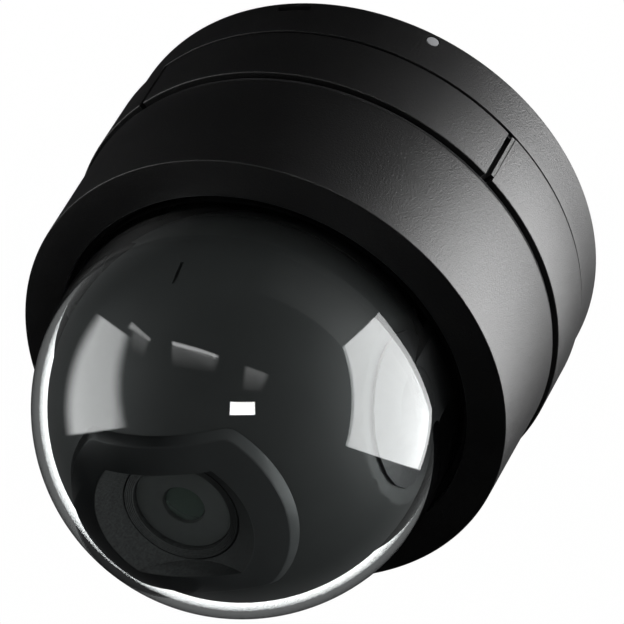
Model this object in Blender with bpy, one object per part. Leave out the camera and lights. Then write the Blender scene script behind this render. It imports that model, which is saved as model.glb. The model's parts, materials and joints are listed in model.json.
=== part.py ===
"""Compact fixed dome surveillance camera, modelled dome upwards and standing on its mounting face.

Metres, +Z up. The origin is the centre of the mounting face. Azimuths are in degrees about +Z:
0 is the front (-Y) and they grow towards +X. Pieces inside the ball are drawn about the ball's
centre, with the lens looking along +Z at rest.
"""

import math

import bmesh
import bpy
from mathutils import Matrix

MM = 0.001
GAP = 0.3 * MM
TOUCH = 1e-6
SEGMENTS = 32
LENS_SEGMENTS = 20
SMALL_SEGMENTS = 12
SCREW_SEGMENTS = 8
ARC_STEP = 12.0
SHARP_ANGLE = math.radians(32)

# Housing: the rear housing stands on the mounting face and the front cover carries the dome.
REAR_RADIUS = 46.8 * MM
BAND_RADIUS = 47.35 * MM
BAND_TOP_RADIUS = 47.2 * MM
BAND_BOTTOM = 11.16 * MM
BAND_TOP = 24.16 * MM
GROOVE = 0.2 * MM
HOUSING_INNER = 42.8 * MM
REAR_POCKET_RADIUS = 44.4 * MM
FLOOR_BOTTOM = 3.4 * MM
FLOOR_TOP = 5.2 * MM
FLOOR_HOLE = 8.3 * MM
EDGE_ROUND = 0.9 * MM

PANEL_START = -58.2
PANEL_END = 29.4
PANEL_SLOT = 1.3
PANEL_INNER = 45.3 * MM

COVER_BOTTOM = 25.4 * MM
COVER_TOP = 51.5 * MM
COVER_BOTTOM_RADIUS = 46.48 * MM
COVER_RADIUS = 46.0 * MM
COVER_INNER = 44.2 * MM
COVER_CEILING = 50.2 * MM
COVER_HOLE = 38.88 * MM
COVER_LIP = 52.26 * MM

# Two bayonets: the housing on its mount plate, and the cover on the chassis. A 16 degree turn
# carries each lug clear of its tab.
LUG_COUNT = 3
LUG_START = 60.0
LUG_HALF = 5.0
TAB_HALF = 6.0

# Dome window, a hemisphere on a straight skirt with a clamped flange.
BALL_HEIGHT = 61.63 * MM
DOME_RADIUS = 37.5 * MM
DOME_WALL = 1.7 * MM
FLANGE_RADIUS = 41.6 * MM
FLANGE_BOTTOM = 47.45 * MM
FLANGE_TOP = 49.15 * MM
CLAMP_BOTTOM = 45.3 * MM
CLAMP_RADIUS = 43.9 * MM
CLAMP_SCREWS = 3
CLAMP_SCREW_RADIUS = 42.4 * MM

# Ball with the lens, tilted between two yoke arms that stand on the pan turntable.
BALL_RADIUS = 34.3 * MM
BALL_WALL = 1.8 * MM
BALL_SPLIT = -12.2 * MM
BALL_FLAT = 30.6 * MM
BALL_LENS_HOLE = 14.5 * MM
BALL_CABLE_HOLE = 9.0 * MM
ARM_THICKNESS = 2.3 * MM
ARM_HALF_WIDTH = 7.0 * MM
HUB_RADIUS = 13.6 * MM
PIN_RADIUS = 3.0 * MM
FOOT_REACH = 39.5 * MM
FOOT_THICKNESS = 2.0 * MM

CHASSIS_BOTTOM = 27.5 * MM
CHASSIS_TOP = 30.0 * MM
CHASSIS_RADIUS = 41.8 * MM
COLLAR_INNER = 24.5 * MM
COLLAR_OUTER = 28.0 * MM
TURNTABLE_RADIUS = 40.5 * MM
TURNTABLE_TOP = 33.3 * MM
POST_CIRCLE = 38.8 * MM

# Lens head, which turns in the ball about the lens axis.
HOOD_RADIUS = 35.25 * MM
HOOD_UNDERSIDE = 34.65 * MM
HOOD_RIM = 19.8 * MM
HOOD_FOOT = 21.0 * MM
HOOD_FLAT = 15.2 * MM
HOOD_FLANK = 1.2 * MM
HOOD_CORNER = 3.0 * MM
HOOD_STEPS = 4
FUNNEL_RADIUS = 14.6 * MM
FUNNEL_FLAT = 10.7 * MM
FUNNEL_FLOOR = 29.7 * MM
BEZEL_SEAT = FUNNEL_FLOOR - 2.0 * MM
NECK_OUTER = 14.2 * MM
NECK_BOTTOM = 27.1 * MM
RETAINER_TOP = 26.8 * MM
RETAINER_BOTTOM = 25.3 * MM
RETAINER_SCREW_CIRCLE = 12.8 * MM
BARREL_RADIUS = 7.0 * MM
BARREL_TOP = 27.2 * MM
BARREL_BOTTOM = 13.8 * MM
HOLDER_TOP = 25.0 * MM
HOLDER_BOTTOM = 8.3 * MM

# Electronics in the rear housing.
BOARD_BOTTOM = 9.5 * MM
BOARD_TOP = 11.1 * MM
BOARD_RADIUS = 36.0 * MM
BOARD_HOLE = 9.5 * MM
BOARD_BOSS_CIRCLE = 29.0 * MM
RESET_AZIMUTH = -15.0
RESET_HEIGHT = 16.0 * MM
LOCK_AZIMUTH = -33.3
LOCK_HEIGHT = 2.5 * MM
NOTCH_HALF_WIDTH = 3.3 * MM


def material(name, colour, roughness, metallic=0.0, alpha=1.0):
    """A Principled material, made once and then shared."""
    found = bpy.data.materials.get(name)
    if found:
        return found
    made = bpy.data.materials.new(name)
    made.use_nodes = True
    shader = made.node_tree.nodes["Principled BSDF"]
    shader.inputs["Base Color"].default_value = (*colour, 1.0)
    shader.inputs["Roughness"].default_value = roughness
    shader.inputs["Metallic"].default_value = metallic
    shader.inputs["Alpha"].default_value = alpha
    return made


def black_paint():
    return material("black_powder_coat", (0.018, 0.018, 0.019), 0.55, 0.1)


def black_plastic():
    return material("black_plastic", (0.02, 0.021, 0.022), 0.42)


def black_rubber():
    return material("black_rubber", (0.012, 0.012, 0.013), 0.85)


def clear_plastic():
    return material("clear_polycarbonate", (0.93, 0.95, 0.95), 0.04, 0.0, 0.2)


def coated_glass():
    return material("coated_lens_glass", (0.05, 0.09, 0.08), 0.05, 0.0, 0.6)


def bare_steel():
    return material("bare_steel", (0.55, 0.55, 0.56), 0.32, 1.0)


def cast_alloy():
    return material("cast_alloy", (0.42, 0.43, 0.44), 0.5, 1.0)


def circuit_board():
    return material("circuit_board", (0.01, 0.09, 0.045), 0.5)


def chip_black():
    return material("chip_black", (0.025, 0.025, 0.028), 0.6)


def amber_film():
    return material("amber_cable_film", (0.45, 0.2, 0.04), 0.4)


def clear_scene():
    for item in list(bpy.data.objects):
        bpy.data.objects.remove(item, do_unlink=True)


def polar(radius, azimuth, height=0.0):
    """The point at a radius and azimuth about +Z."""
    turn = math.radians(azimuth)
    return (radius * math.sin(turn), -radius * math.cos(turn), height)


def joint_empty(name, location, parent=None):
    """An empty on a joint's axis, given by its place in the world."""
    empty = bpy.data.objects.new(name, None)
    bpy.context.scene.collection.objects.link(empty)
    empty.parent = parent
    base = world_place(parent)
    empty.location = [a - b for a, b in zip(location, base)]
    return empty


def world_place(item):
    """The world place of an unrotated empty."""
    place = [0.0, 0.0, 0.0]
    while item:
        place = [a + b for a, b in zip(place, item.location)]
        item = item.parent
    return place


def finish(bm, name, finish_material=None, parent=None):
    """Turns a bmesh into an object whose faces point out."""
    bmesh.ops.recalc_face_normals(bm, faces=bm.faces)
    mesh = bpy.data.meshes.new(name)
    bm.to_mesh(mesh)
    bm.free()
    mesh.shade_smooth()
    mesh.set_sharp_from_angle(angle=SHARP_ANGLE)
    made = bpy.data.objects.new(name, mesh)
    bpy.context.scene.collection.objects.link(made)
    made.parent = parent
    if finish_material:
        mesh.materials.append(finish_material)
    else:
        made.hide_render = True
        made.display_type = "WIRE"
    return made


def add_lathe(bm, outline, segments=SEGMENTS, start=0.0, sweep=360.0, place=None):
    """Adds a closed outline of (radius, height) points spun about +Z, then moved by a matrix."""
    part = bmesh.new()
    points = [part.verts.new(polar(radius, start, height)) for radius, height in outline]
    edges = [part.edges.new((a, b)) for a, b in zip(points, points[1:] + points[:1])]
    bmesh.ops.spin(
        part,
        geom=points + edges,
        cent=(0, 0, 0),
        axis=(0, 0, 1),
        angle=math.radians(sweep),
        steps=segments,
    )
    bmesh.ops.remove_doubles(part, verts=part.verts, dist=TOUCH)
    loose = [edge for edge in part.edges if not edge.link_faces]
    bmesh.ops.delete(part, geom=loose, context="EDGES")
    if sweep < 360.0:
        bmesh.ops.holes_fill(part, edges=part.edges)
    if place:
        bmesh.ops.transform(part, matrix=place, verts=part.verts)
    mesh = bpy.data.meshes.new("lathe")
    part.to_mesh(mesh)
    part.free()
    bm.from_mesh(mesh)
    bpy.data.meshes.remove(mesh)


def lathe(name, outline, finish_material=None, parent=None, **spin):
    bm = bmesh.new()
    add_lathe(bm, outline, **spin)
    return finish(bm, name, finish_material, parent)


def ring_outline(inner, outer, bottom, top):
    return [(inner, bottom), (outer, bottom), (outer, top), (inner, top)]


def arc_outline(radius, from_reach, to_reach, centre=0.0):
    """Points on a circle of a radius about (0, centre) between two reaches from the axis."""
    first = math.degrees(math.asin(from_reach / radius))
    last = math.degrees(math.asin(to_reach / radius))
    return arc_angles(radius, first, last, centre)


def arc_angles(radius, first, last, centre=0.0):
    """Points on a circle between two angles from the axis, in degrees."""
    steps = max(2, math.ceil(abs(last - first) / ARC_STEP))
    turns = [math.radians(first + (last - first) * i / steps) for i in range(steps + 1)]
    return [
        (radius * math.sin(turn), centre + radius * math.cos(turn)) for turn in turns
    ]


def add_box(bm, low, high, azimuth=0.0):
    """A box between two corners, turned about +Z."""
    size = [b - a for a, b in zip(low, high)]
    middle = [(a + b) / 2 for a, b in zip(low, high)]
    turn = Matrix.Rotation(math.radians(azimuth), 4, "Z")
    place = turn @ Matrix.Translation(middle) @ Matrix.Diagonal((*size, 1.0))
    bmesh.ops.create_cube(bm, size=1.0, matrix=place)


def box(name, low, high, finish_material=None, parent=None, azimuth=0.0):
    bm = bmesh.new()
    add_box(bm, low, high, azimuth)
    return finish(bm, name, finish_material, parent)


def add_rod(bm, radius, start, end, place=None, segments=SCREW_SEGMENTS):
    """A cylinder along its own Z from start to end, moved by a matrix."""
    shift = Matrix.Translation((0, 0, (start + end) / 2))
    bmesh.ops.create_cone(
        bm,
        cap_ends=True,
        segments=segments,
        radius1=radius,
        radius2=radius,
        depth=end - start,
        matrix=(place or Matrix.Identity(4)) @ shift,
    )


def at(x, y, z=0.0):
    return Matrix.Translation((x, y, z))


def outward(azimuth, height):
    """A frame at a height on the axis whose Z points outwards at an azimuth."""
    turn = Matrix.Rotation(math.radians(azimuth), 4, "Z")
    lay = Matrix.Rotation(math.radians(90), 4, "X")
    return Matrix.Translation((0, 0, height)) @ turn @ lay


def sideways(side):
    """A frame whose Z points along +X or -X."""
    return Matrix.Rotation(math.radians(90 * side), 4, "Y")


def combine(target, guide, operation):
    step = target.modifiers.new(guide.name, "BOOLEAN")
    step.operation = operation
    step.solver = "EXACT"
    step.object = guide


def rods(name, radius, start, end, places, segments=SCREW_SEGMENTS, parent=None):
    """A guide that holds one rod at each place."""
    bm = bmesh.new()
    for place in places:
        add_rod(bm, radius, start, end, place, segments)
    return finish(bm, name, None, parent)


def screw(name, place, shank, length, head, head_height, parent=None):
    """A cap screw whose head sits on z = 0 of its frame and whose shank runs down."""
    outline = [(0, -length), (shank, -length), (shank, 0), (head, 0)]
    outline += [(head, head_height), (0, head_height)]
    made = lathe(name, outline, bare_steel(), parent, segments=SCREW_SEGMENTS)
    made.matrix_local = place
    return made


def spread(count, first=0.0):
    return [first + 360.0 * i / count for i in range(count)]


def mount_plate():
    """Steel plate fixed to the ceiling, with a turned-up rim, a cable hole and screw slots."""
    rim_height = 3.0 * MM
    sheet = 1.6 * MM
    rim_inner = 41.6 * MM
    rim_outer = 43.0 * MM
    cable_hole = 12.0 * MM
    outline = [(cable_hole, 0), (rim_outer, 0), (rim_outer, rim_height)]
    outline += [(rim_inner, rim_height), (rim_inner, sheet), (cable_hole, sheet)]
    plate = lathe("mount_plate", outline, bare_steel())
    slot_circle = 27.0 * MM
    slot_half_length = 5.0 * MM
    slot_half_width = 2.2 * MM
    bm = bmesh.new()
    for azimuth in spread(4, 45.0):
        low = (-slot_half_length, -slot_circle - slot_half_width, -sheet)
        high = (slot_half_length, -slot_circle + slot_half_width, 2 * sheet)
        add_box(bm, low, high, azimuth)
    combine(plate, finish(bm, "slot_cutter"), "DIFFERENCE")
    bm = bmesh.new()
    for azimuth in spread(LUG_COUNT, LUG_START):
        tab = ring_outline(rim_outer - 0.5 * MM, rim_outer + 1.0 * MM, 1.9 * MM, rim_height)
        add_lathe(bm, tab, segments=3, start=azimuth - TAB_HALF, sweep=2 * TAB_HALF)
    combine(plate, finish(bm, "plate_tabs"), "UNION")


def housing_outline():
    """Half section of the rear housing, up its outside and down its inside."""
    outline = [(REAR_POCKET_RADIUS, 0), (REAR_RADIUS - EDGE_ROUND, 0)]
    outline += [(REAR_RADIUS - 0.3 * EDGE_ROUND, 0.3 * EDGE_ROUND), (REAR_RADIUS, EDGE_ROUND)]
    outline += [(REAR_RADIUS, BAND_BOTTOM - GROOVE), (REAR_RADIUS - 0.4 * MM, BAND_BOTTOM)]
    outline += [(REAR_RADIUS - 0.4 * MM, BAND_BOTTOM + GROOVE)]
    outline += [(BAND_RADIUS, BAND_BOTTOM + GROOVE), (BAND_TOP_RADIUS, BAND_TOP)]
    outline += [(HOUSING_INNER, BAND_TOP), (HOUSING_INNER, FLOOR_TOP)]
    outline += [(FLOOR_HOLE, FLOOR_TOP), (FLOOR_HOLE, FLOOR_BOTTOM)]
    outline += [(REAR_POCKET_RADIUS, FLOOR_BOTTOM)]
    return outline


def rear_housing(parent):
    """Die-cast cup with a stepped band, posts for the chassis and bosses for the board."""
    housing = lathe("rear_housing", housing_outline(), black_paint(), parent)
    bm = bmesh.new()
    for azimuth in post_azimuths():
        post = at(*polar(POST_CIRCLE, azimuth))
        add_rod(bm, 2.4 * MM, FLOOR_TOP - 1.0 * MM, CHASSIS_BOTTOM - GAP, post)
    for azimuth in board_azimuths():
        boss = at(*polar(BOARD_BOSS_CIRCLE, azimuth))
        add_rod(bm, 2.4 * MM, FLOOR_TOP - 1.0 * MM, BOARD_BOTTOM - GAP, boss)
    for azimuth in spread(LUG_COUNT, LUG_START):
        lug = ring_outline(43.3 * MM, REAR_POCKET_RADIUS + 0.6 * MM, 0.3 * MM, 1.5 * MM)
        add_lathe(bm, lug, segments=3, start=azimuth - LUG_HALF, sweep=2 * LUG_HALF)
    combine(housing, finish(bm, "housing_bosses", None, parent), "UNION")
    recess = ring_outline(PANEL_INNER - GAP, 50 * MM, BAND_BOTTOM + GROOVE, 26 * MM)
    width = PANEL_END - PANEL_START + 2 * PANEL_SLOT
    start = PANEL_START - PANEL_SLOT
    cutter = lathe("panel_cutter", recess, None, parent, segments=14, start=start, sweep=width)
    combine(housing, cutter, "DIFFERENCE")
    bm = bmesh.new()
    add_rod(bm, 1.35 * MM, 43.0 * MM, 50 * MM, outward(LOCK_AZIMUTH, LOCK_HEIGHT))
    add_rod(bm, 1.4 * MM, 40.0 * MM, 50 * MM, outward(RESET_AZIMUTH, RESET_HEIGHT))
    notch_low = (-NOTCH_HALF_WIDTH, -50 * MM, 1.7 * MM)
    notch_high = (NOTCH_HALF_WIDTH, -44.0 * MM, 3.1 * MM)
    add_box(bm, notch_low, notch_high)
    for azimuth in post_azimuths():
        post = at(*polar(POST_CIRCLE, azimuth))
        add_rod(bm, 1.3 * MM, 18 * MM, 30 * MM, post)
    for azimuth in board_azimuths():
        boss = at(*polar(BOARD_BOSS_CIRCLE, azimuth))
        add_rod(bm, 1.1 * MM, FLOOR_TOP + 0.5 * MM, 12 * MM, boss)
    combine(housing, finish(bm, "housing_drills", None, parent), "DIFFERENCE")


def post_azimuths():
    return spread(3, 30.0)


def board_azimuths():
    return spread(4, 45.0)


def side_panel(parent):
    """Curved cover over the service opening in the band."""
    bottom = BAND_BOTTOM + GROOVE + GAP
    slope = (BAND_RADIUS - BAND_TOP_RADIUS) / (BAND_TOP - BAND_BOTTOM)
    top_radius = BAND_TOP_RADIUS + 0.5 * slope * GAP
    outline = [(PANEL_INNER, bottom), (BAND_RADIUS, bottom), (top_radius, BAND_TOP)]
    outline += [(PANEL_INNER, BAND_TOP)]
    width = PANEL_END - PANEL_START
    panel = {"segments": 14, "start": PANEL_START, "sweep": width}
    lathe("side_panel", outline, black_paint(), parent, **panel)


def seam_gasket(parent):
    outline = ring_outline(43.3 * MM, 46.4 * MM, BAND_TOP + GAP, COVER_BOTTOM - GAP)
    lathe("seam_gasket", outline, black_rubber(), parent)


def lock_screw(parent):
    """Grub screw in the side of the housing, which stops it turning on the mount plate."""
    bm = bmesh.new()
    add_rod(bm, 1.05 * MM, 43.35 * MM, REAR_RADIUS - 0.05 * MM, outward(LOCK_AZIMUTH, LOCK_HEIGHT))
    finish(bm, "lock_screw", bare_steel(), parent)


def cable_grommet(parent):
    """Rubber bush that grips the edge of the floor's cable hole."""
    hole = FLOOR_HOLE - GAP
    lip = 10.2 * MM
    outline = [(4.5 * MM, FLOOR_BOTTOM - 1.2 * MM), (lip, FLOOR_BOTTOM - 1.2 * MM)]
    outline += [(lip, FLOOR_BOTTOM - GAP), (hole, FLOOR_BOTTOM - GAP)]
    outline += [(hole, FLOOR_TOP + GAP), (lip, FLOOR_TOP + GAP)]
    outline += [(lip, FLOOR_TOP + 1.3 * MM), (4.5 * MM, FLOOR_TOP + 1.3 * MM)]
    lathe("cable_grommet", outline, black_rubber(), parent, segments=SMALL_SEGMENTS)


def main_board(parent):
    outline = ring_outline(BOARD_HOLE, BOARD_RADIUS, BOARD_BOTTOM, BOARD_TOP)
    board = lathe("main_board", outline, circuit_board(), parent)
    places = [at(*polar(BOARD_BOSS_CIRCLE, azimuth)) for azimuth in board_azimuths()]
    holes = rods("board_drills", 1.1 * MM, 8 * MM, 12 * MM, places, parent=parent)
    combine(board, holes, "DIFFERENCE")
    for index, azimuth in enumerate(board_azimuths()):
        place = at(*polar(BOARD_BOSS_CIRCLE, azimuth, BOARD_TOP + GAP))
        screw(f"board_screw_{index + 1}", place, 0.8 * MM, 4.6 * MM, 1.9 * MM, 1.3 * MM, parent)


def processor(parent):
    """Processor, its thermal pad and the plate that spreads its heat."""
    x = -21.0 * MM
    chip = 7.0 * MM
    level = BOARD_TOP + GAP
    box("processor", (x - chip, -chip, level), (x + chip, chip, level + 1.2 * MM),
        chip_black(), parent)
    level += 1.2 * MM + GAP
    box("thermal_pad", (x - chip, -chip, level), (x + chip, chip, level + 0.8 * MM),
        black_rubber(), parent)
    level += 0.8 * MM + GAP
    plate = 11.0 * MM
    spreader = box("heat_spreader", (x - plate, -plate, level), (x + plate, plate, level + 4 * MM),
                   cast_alloy(), parent)
    bm = bmesh.new()
    pitch = 3.4 * MM
    for index in range(-2, 3):
        middle = index * pitch * 1.2
        low = (x - 2 * plate, middle - 0.3 * pitch, level + 1.4 * MM)
        add_box(bm, low, (x + 2 * plate, middle + 0.3 * pitch, level + 6 * MM))
    combine(spreader, finish(bm, "fin_cutter", None, parent), "DIFFERENCE")


def network_jack(parent):
    """Eight-way network socket that opens towards the cable hole."""
    low = (-8.0 * MM, 12.5 * MM, BOARD_TOP + GAP)
    high = (8.0 * MM, 28.5 * MM, BOARD_TOP + 13.5 * MM)
    jack = box("network_jack", low, high, bare_steel(), parent)
    bm = bmesh.new()
    add_box(bm, (-6.0 * MM, 10 * MM, BOARD_TOP + 3.2 * MM), (6.0 * MM, 25 * MM, BOARD_TOP + 10 * MM))
    cutter = finish(bm, "jack_cutter", None, parent)
    combine(jack, cutter, "DIFFERENCE")


def reset_switch(parent):
    """Right-angle switch on the board's edge, behind the reset plunger."""
    low = (-3.0 * MM, -35.0 * MM, BOARD_TOP + GAP)
    high = (3.0 * MM, -30.5 * MM, RESET_HEIGHT + 2.2 * MM)
    box("reset_switch", low, high, chip_black(), parent, azimuth=RESET_AZIMUTH)


def reset_button(parent):
    """Plunger that runs through the housing wall under the side panel."""
    outline = [(0, 35.9 * MM), (2.0 * MM, 35.9 * MM), (2.0 * MM, 37.4 * MM)]
    outline += [(1.1 * MM, 37.4 * MM), (1.1 * MM, 44.8 * MM), (0, 44.8 * MM)]
    spin = {"segments": SCREW_SEGMENTS, "place": outward(RESET_AZIMUTH, 0.0)}
    lathe("reset_button", outline, black_plastic(), parent, **spin)


def chassis(parent):
    """Alloy ring on the posts: pan bearing, and tabs that hold the cover's lugs."""
    collar_top = TURNTABLE_TOP
    outline = [(COLLAR_INNER, CHASSIS_BOTTOM), (CHASSIS_RADIUS, CHASSIS_BOTTOM)]
    outline += [(CHASSIS_RADIUS, CHASSIS_TOP), (COLLAR_OUTER, CHASSIS_TOP)]
    outline += [(COLLAR_OUTER, collar_top), (COLLAR_INNER, collar_top)]
    made = lathe("chassis", outline, cast_alloy(), parent)
    bm = bmesh.new()
    for azimuth in spread(LUG_COUNT, 90.0):
        tab = ring_outline(CHASSIS_RADIUS - 1 * MM, COVER_INNER - 0.4 * MM, 28.6 * MM, CHASSIS_TOP)
        add_lathe(bm, tab, segments=3, start=azimuth - TAB_HALF, sweep=2 * TAB_HALF)
    combine(made, finish(bm, "chassis_tabs", None, parent), "UNION")
    bm = bmesh.new()
    seat = CHASSIS_TOP - 1.5 * MM
    drill = [(0, 25 * MM), (1.3 * MM, 25 * MM), (1.3 * MM, seat), (2.3 * MM, seat)]
    drill += [(2.3 * MM, 32 * MM), (0, 32 * MM)]
    for azimuth in post_azimuths():
        post = at(*polar(POST_CIRCLE, azimuth))
        add_lathe(bm, drill, segments=SCREW_SEGMENTS, place=post)
    for azimuth in spread(2):
        place = at(*polar(26.2 * MM, azimuth))
        add_rod(bm, 1.0 * MM, CHASSIS_TOP, 36 * MM, place)
    combine(made, finish(bm, "chassis_drills", None, parent), "DIFFERENCE")
    for index, azimuth in enumerate(post_azimuths()):
        place = at(*polar(POST_CIRCLE, azimuth, CHASSIS_TOP - 1.5 * MM + GAP))
        screw(f"chassis_screw_{index + 1}", place, 1.0 * MM, 8 * MM, 1.9 * MM, 0.9 * MM, parent)


def pan_retainer(parent):
    """Ring screwed to the chassis collar that keeps the turntable down."""
    bottom = TURNTABLE_TOP + GAP
    top = bottom + 1.4 * MM
    made = lathe("pan_retainer", ring_outline(COLLAR_INNER, 30.3 * MM, bottom, top),
                 bare_steel(), parent)
    places = [at(*polar(26.2 * MM, azimuth)) for azimuth in spread(2)]
    combine(made, rods("retainer_drills", 1.0 * MM, 30 * MM, 40 * MM, places, parent=parent),
            "DIFFERENCE")
    for index, azimuth in enumerate(spread(2)):
        place = at(*polar(26.2 * MM, azimuth, top + GAP))
        screw(f"pan_screw_{index + 1}", place, 0.7 * MM, 3.9 * MM, 1.4 * MM, 0.9 * MM, parent)


def foot_screw_places(z):
    reach = 36.2 * MM
    return [at(side * reach, 0, z) for side in (-1, 1)]


def turntable(parent):
    """Flat ring that turns on the chassis collar and carries the yoke."""
    outline = ring_outline(COLLAR_OUTER + GAP, TURNTABLE_RADIUS, CHASSIS_TOP + GAP, TURNTABLE_TOP)
    made = lathe("turntable", outline, black_plastic(), parent)
    holes = rods("foot_drills", 1.3 * MM, 31.2 * MM, 40 * MM, foot_screw_places(0), parent=parent)
    combine(made, holes, "DIFFERENCE")
    return holes


def yoke_arm(name, side, parent, foot_drills):
    """One arm of the yoke: a domed hub on the tilt axis, a leg and a foot."""
    inner = BALL_FLAT + GAP
    cap_radius = BALL_RADIUS - 0.2 * MM
    bore = PIN_RADIUS + GAP
    bore_depth = 2.0 * MM
    outline = [(bore, inner), (HUB_RADIUS, inner)] + arc_outline(cap_radius, HUB_RADIUS, 0)
    outline += [(0, inner + bore_depth), (bore, inner + bore_depth)]
    bm = bmesh.new()
    hub = at(0, 0, BALL_HEIGHT) @ sideways(side)
    add_lathe(bm, outline, segments=LENS_SEGMENTS, place=hub)
    arm = finish(bm, name, black_plastic(), parent)
    outer = inner + ARM_THICKNESS
    foot_bottom = TURNTABLE_TOP + GAP
    bm = bmesh.new()
    across = sorted((side * (inner + 0.1 * MM), side * outer))
    add_box(bm, (across[0], -ARM_HALF_WIDTH, foot_bottom + 0.5 * MM),
            (across[1], ARM_HALF_WIDTH, BALL_HEIGHT - 4 * MM))
    leg = finish(bm, name + "_leg", None, parent)
    combine(arm, leg, "UNION")
    bm = bmesh.new()
    across = sorted((side * (inner + 0.4 * MM), side * FOOT_REACH))
    add_box(bm, (across[0], -ARM_HALF_WIDTH - 0.8 * MM, foot_bottom),
            (across[1], ARM_HALF_WIDTH + 0.8 * MM, foot_bottom + FOOT_THICKNESS))
    combine(arm, finish(bm, name + "_foot", None, parent), "UNION")
    combine(arm, foot_drills, "DIFFERENCE")


def tilt_pin(name, side, parent):
    """Shouldered pin set in the arm's hub; its thin end takes a spring clip."""
    outline = [(0, 25.6 * MM), (2.0 * MM, 25.6 * MM), (2.0 * MM, 27.2 * MM)]
    outline += [(PIN_RADIUS, 27.2 * MM), (PIN_RADIUS, BALL_FLAT + 2.0 * MM)]
    outline += [(0, BALL_FLAT + 2.0 * MM)]
    place = at(0, 0, BALL_HEIGHT) @ sideways(side)
    lathe(name, outline, bare_steel(), parent, segments=SMALL_SEGMENTS, place=place)


def yoke(parent, foot_drills):
    for label, side in (("left", -1), ("right", 1)):
        yoke_arm(f"yoke_arm_{label}", side, parent, foot_drills)
        tilt_pin(f"tilt_pin_{label}", side, parent)
    top = TURNTABLE_TOP + GAP + FOOT_THICKNESS + GAP
    for index, place in enumerate(foot_screw_places(top)):
        screw(f"foot_screw_{index + 1}", place, 1.0 * MM, 4.0 * MM, 1.9 * MM, 1.4 * MM, parent)


def tilt_bearings(parent):
    """Flanged bushes in the ball's flat sides."""
    for label, side in (("left", -1), ("right", 1)):
        bush = [(PIN_RADIUS + GAP, 27.5 * MM), (6.5 * MM, 27.5 * MM), (6.5 * MM, 28.2 * MM)]
        bush += [(4.4 * MM, 28.2 * MM), (4.4 * MM, 30.5 * MM), (PIN_RADIUS + GAP, 30.5 * MM)]
        spin = {"segments": SMALL_SEGMENTS, "place": sideways(side)}
        lathe(f"tilt_bush_{label}", bush, black_plastic(), parent, **spin)


def pin_clips(parent):
    """Spring clips on the thin ends of the tilt pins."""
    for label, side in (("left", -1), ("right", 1)):
        outline = ring_outline(2.3 * MM, 4.6 * MM, 26.2 * MM, 26.9 * MM)
        spin = {"segments": SMALL_SEGMENTS, "place": at(0, 0, BALL_HEIGHT) @ sideways(side)}
        lathe(f"pin_clip_{label}", outline, bare_steel(), parent, **spin)


def angle_of(height, radius):
    """The angle from the axis of a height on a circle of a radius, in degrees."""
    return math.degrees(math.acos(height / radius))


def ball_front(parent):
    """Upper shell of the ball: lens hole, flats for the arms, and a lip into the rear shell."""
    inner = BALL_RADIUS - BALL_WALL
    lip_outer = inner - GAP
    lip_inner = lip_outer - 1.0 * MM
    lens_outer = math.degrees(math.asin(BALL_LENS_HOLE / BALL_RADIUS))
    lens_inner = math.degrees(math.asin(BALL_LENS_HOLE / inner))
    lip_end = BALL_SPLIT - 2.6 * MM
    outline = arc_angles(BALL_RADIUS, lens_outer, angle_of(BALL_SPLIT, BALL_RADIUS))
    outline += [(lip_outer * math.sin(math.acos(BALL_SPLIT / lip_outer)), BALL_SPLIT)]
    outline += [(lip_outer * math.sin(math.acos(lip_end / lip_outer)), lip_end)]
    outline += [(lip_inner * math.sin(math.acos(lip_end / lip_inner)), lip_end)]
    lip_start = BALL_SPLIT + 1.5 * MM
    outline += [(lip_inner * math.sin(math.acos(lip_start / lip_inner)), lip_start)]
    outline += arc_angles(inner, angle_of(lip_start, inner), lens_inner)
    shell = lathe("ball_front_shell", outline, black_plastic(), parent)
    pad = BALL_WALL + 0.4 * MM
    half = 11.8 * MM
    bm = bmesh.new()
    for side in (-1, 1):
        add_rod(bm, half, BALL_FLAT - pad, BALL_FLAT + 0.4 * MM, sideways(side), SMALL_SEGMENTS)
    combine(shell, finish(bm, "ball_pads", None, parent), "UNION")
    bm = bmesh.new()
    for side in (-1, 1):
        low, high = sorted((side * BALL_FLAT, side * 40 * MM))
        add_box(bm, (low, -20 * MM, -22 * MM), (high, 20 * MM, 22 * MM))
    combine(shell, finish(bm, "ball_flats", None, parent), "DIFFERENCE")
    bm = bmesh.new()
    for side in (-1, 1):
        add_rod(bm, 4.7 * MM, 20 * MM, 40 * MM, sideways(side), SMALL_SEGMENTS)
    add_box(bm, (-0.3 * MM, -36 * MM, 4.9 * MM), (0.3 * MM, -33.0 * MM, 9.8 * MM))
    combine(shell, finish(bm, "ball_drills", None, parent), "DIFFERENCE")


def ball_rear(parent):
    """Lower shell of the ball, with a hole for the sensor's cable."""
    inner = BALL_RADIUS - BALL_WALL
    split = BALL_SPLIT - GAP
    last = 180 - math.degrees(math.asin(BALL_CABLE_HOLE / BALL_RADIUS))
    last_inner = 180 - math.degrees(math.asin(BALL_CABLE_HOLE / inner))
    outline = arc_angles(BALL_RADIUS, angle_of(split, BALL_RADIUS), last)
    outline += arc_angles(inner, last_inner, angle_of(split, inner))
    shell = lathe("ball_rear_shell", outline, black_plastic(), parent)
    bm = bmesh.new()
    for side in (-1, 1):
        low, high = sorted((side * BALL_FLAT, side * 40 * MM))
        add_box(bm, (low, -20 * MM, -22 * MM), (high, 20 * MM, 0))
    combine(shell, finish(bm, "rear_flats", None, parent), "DIFFERENCE")


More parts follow.
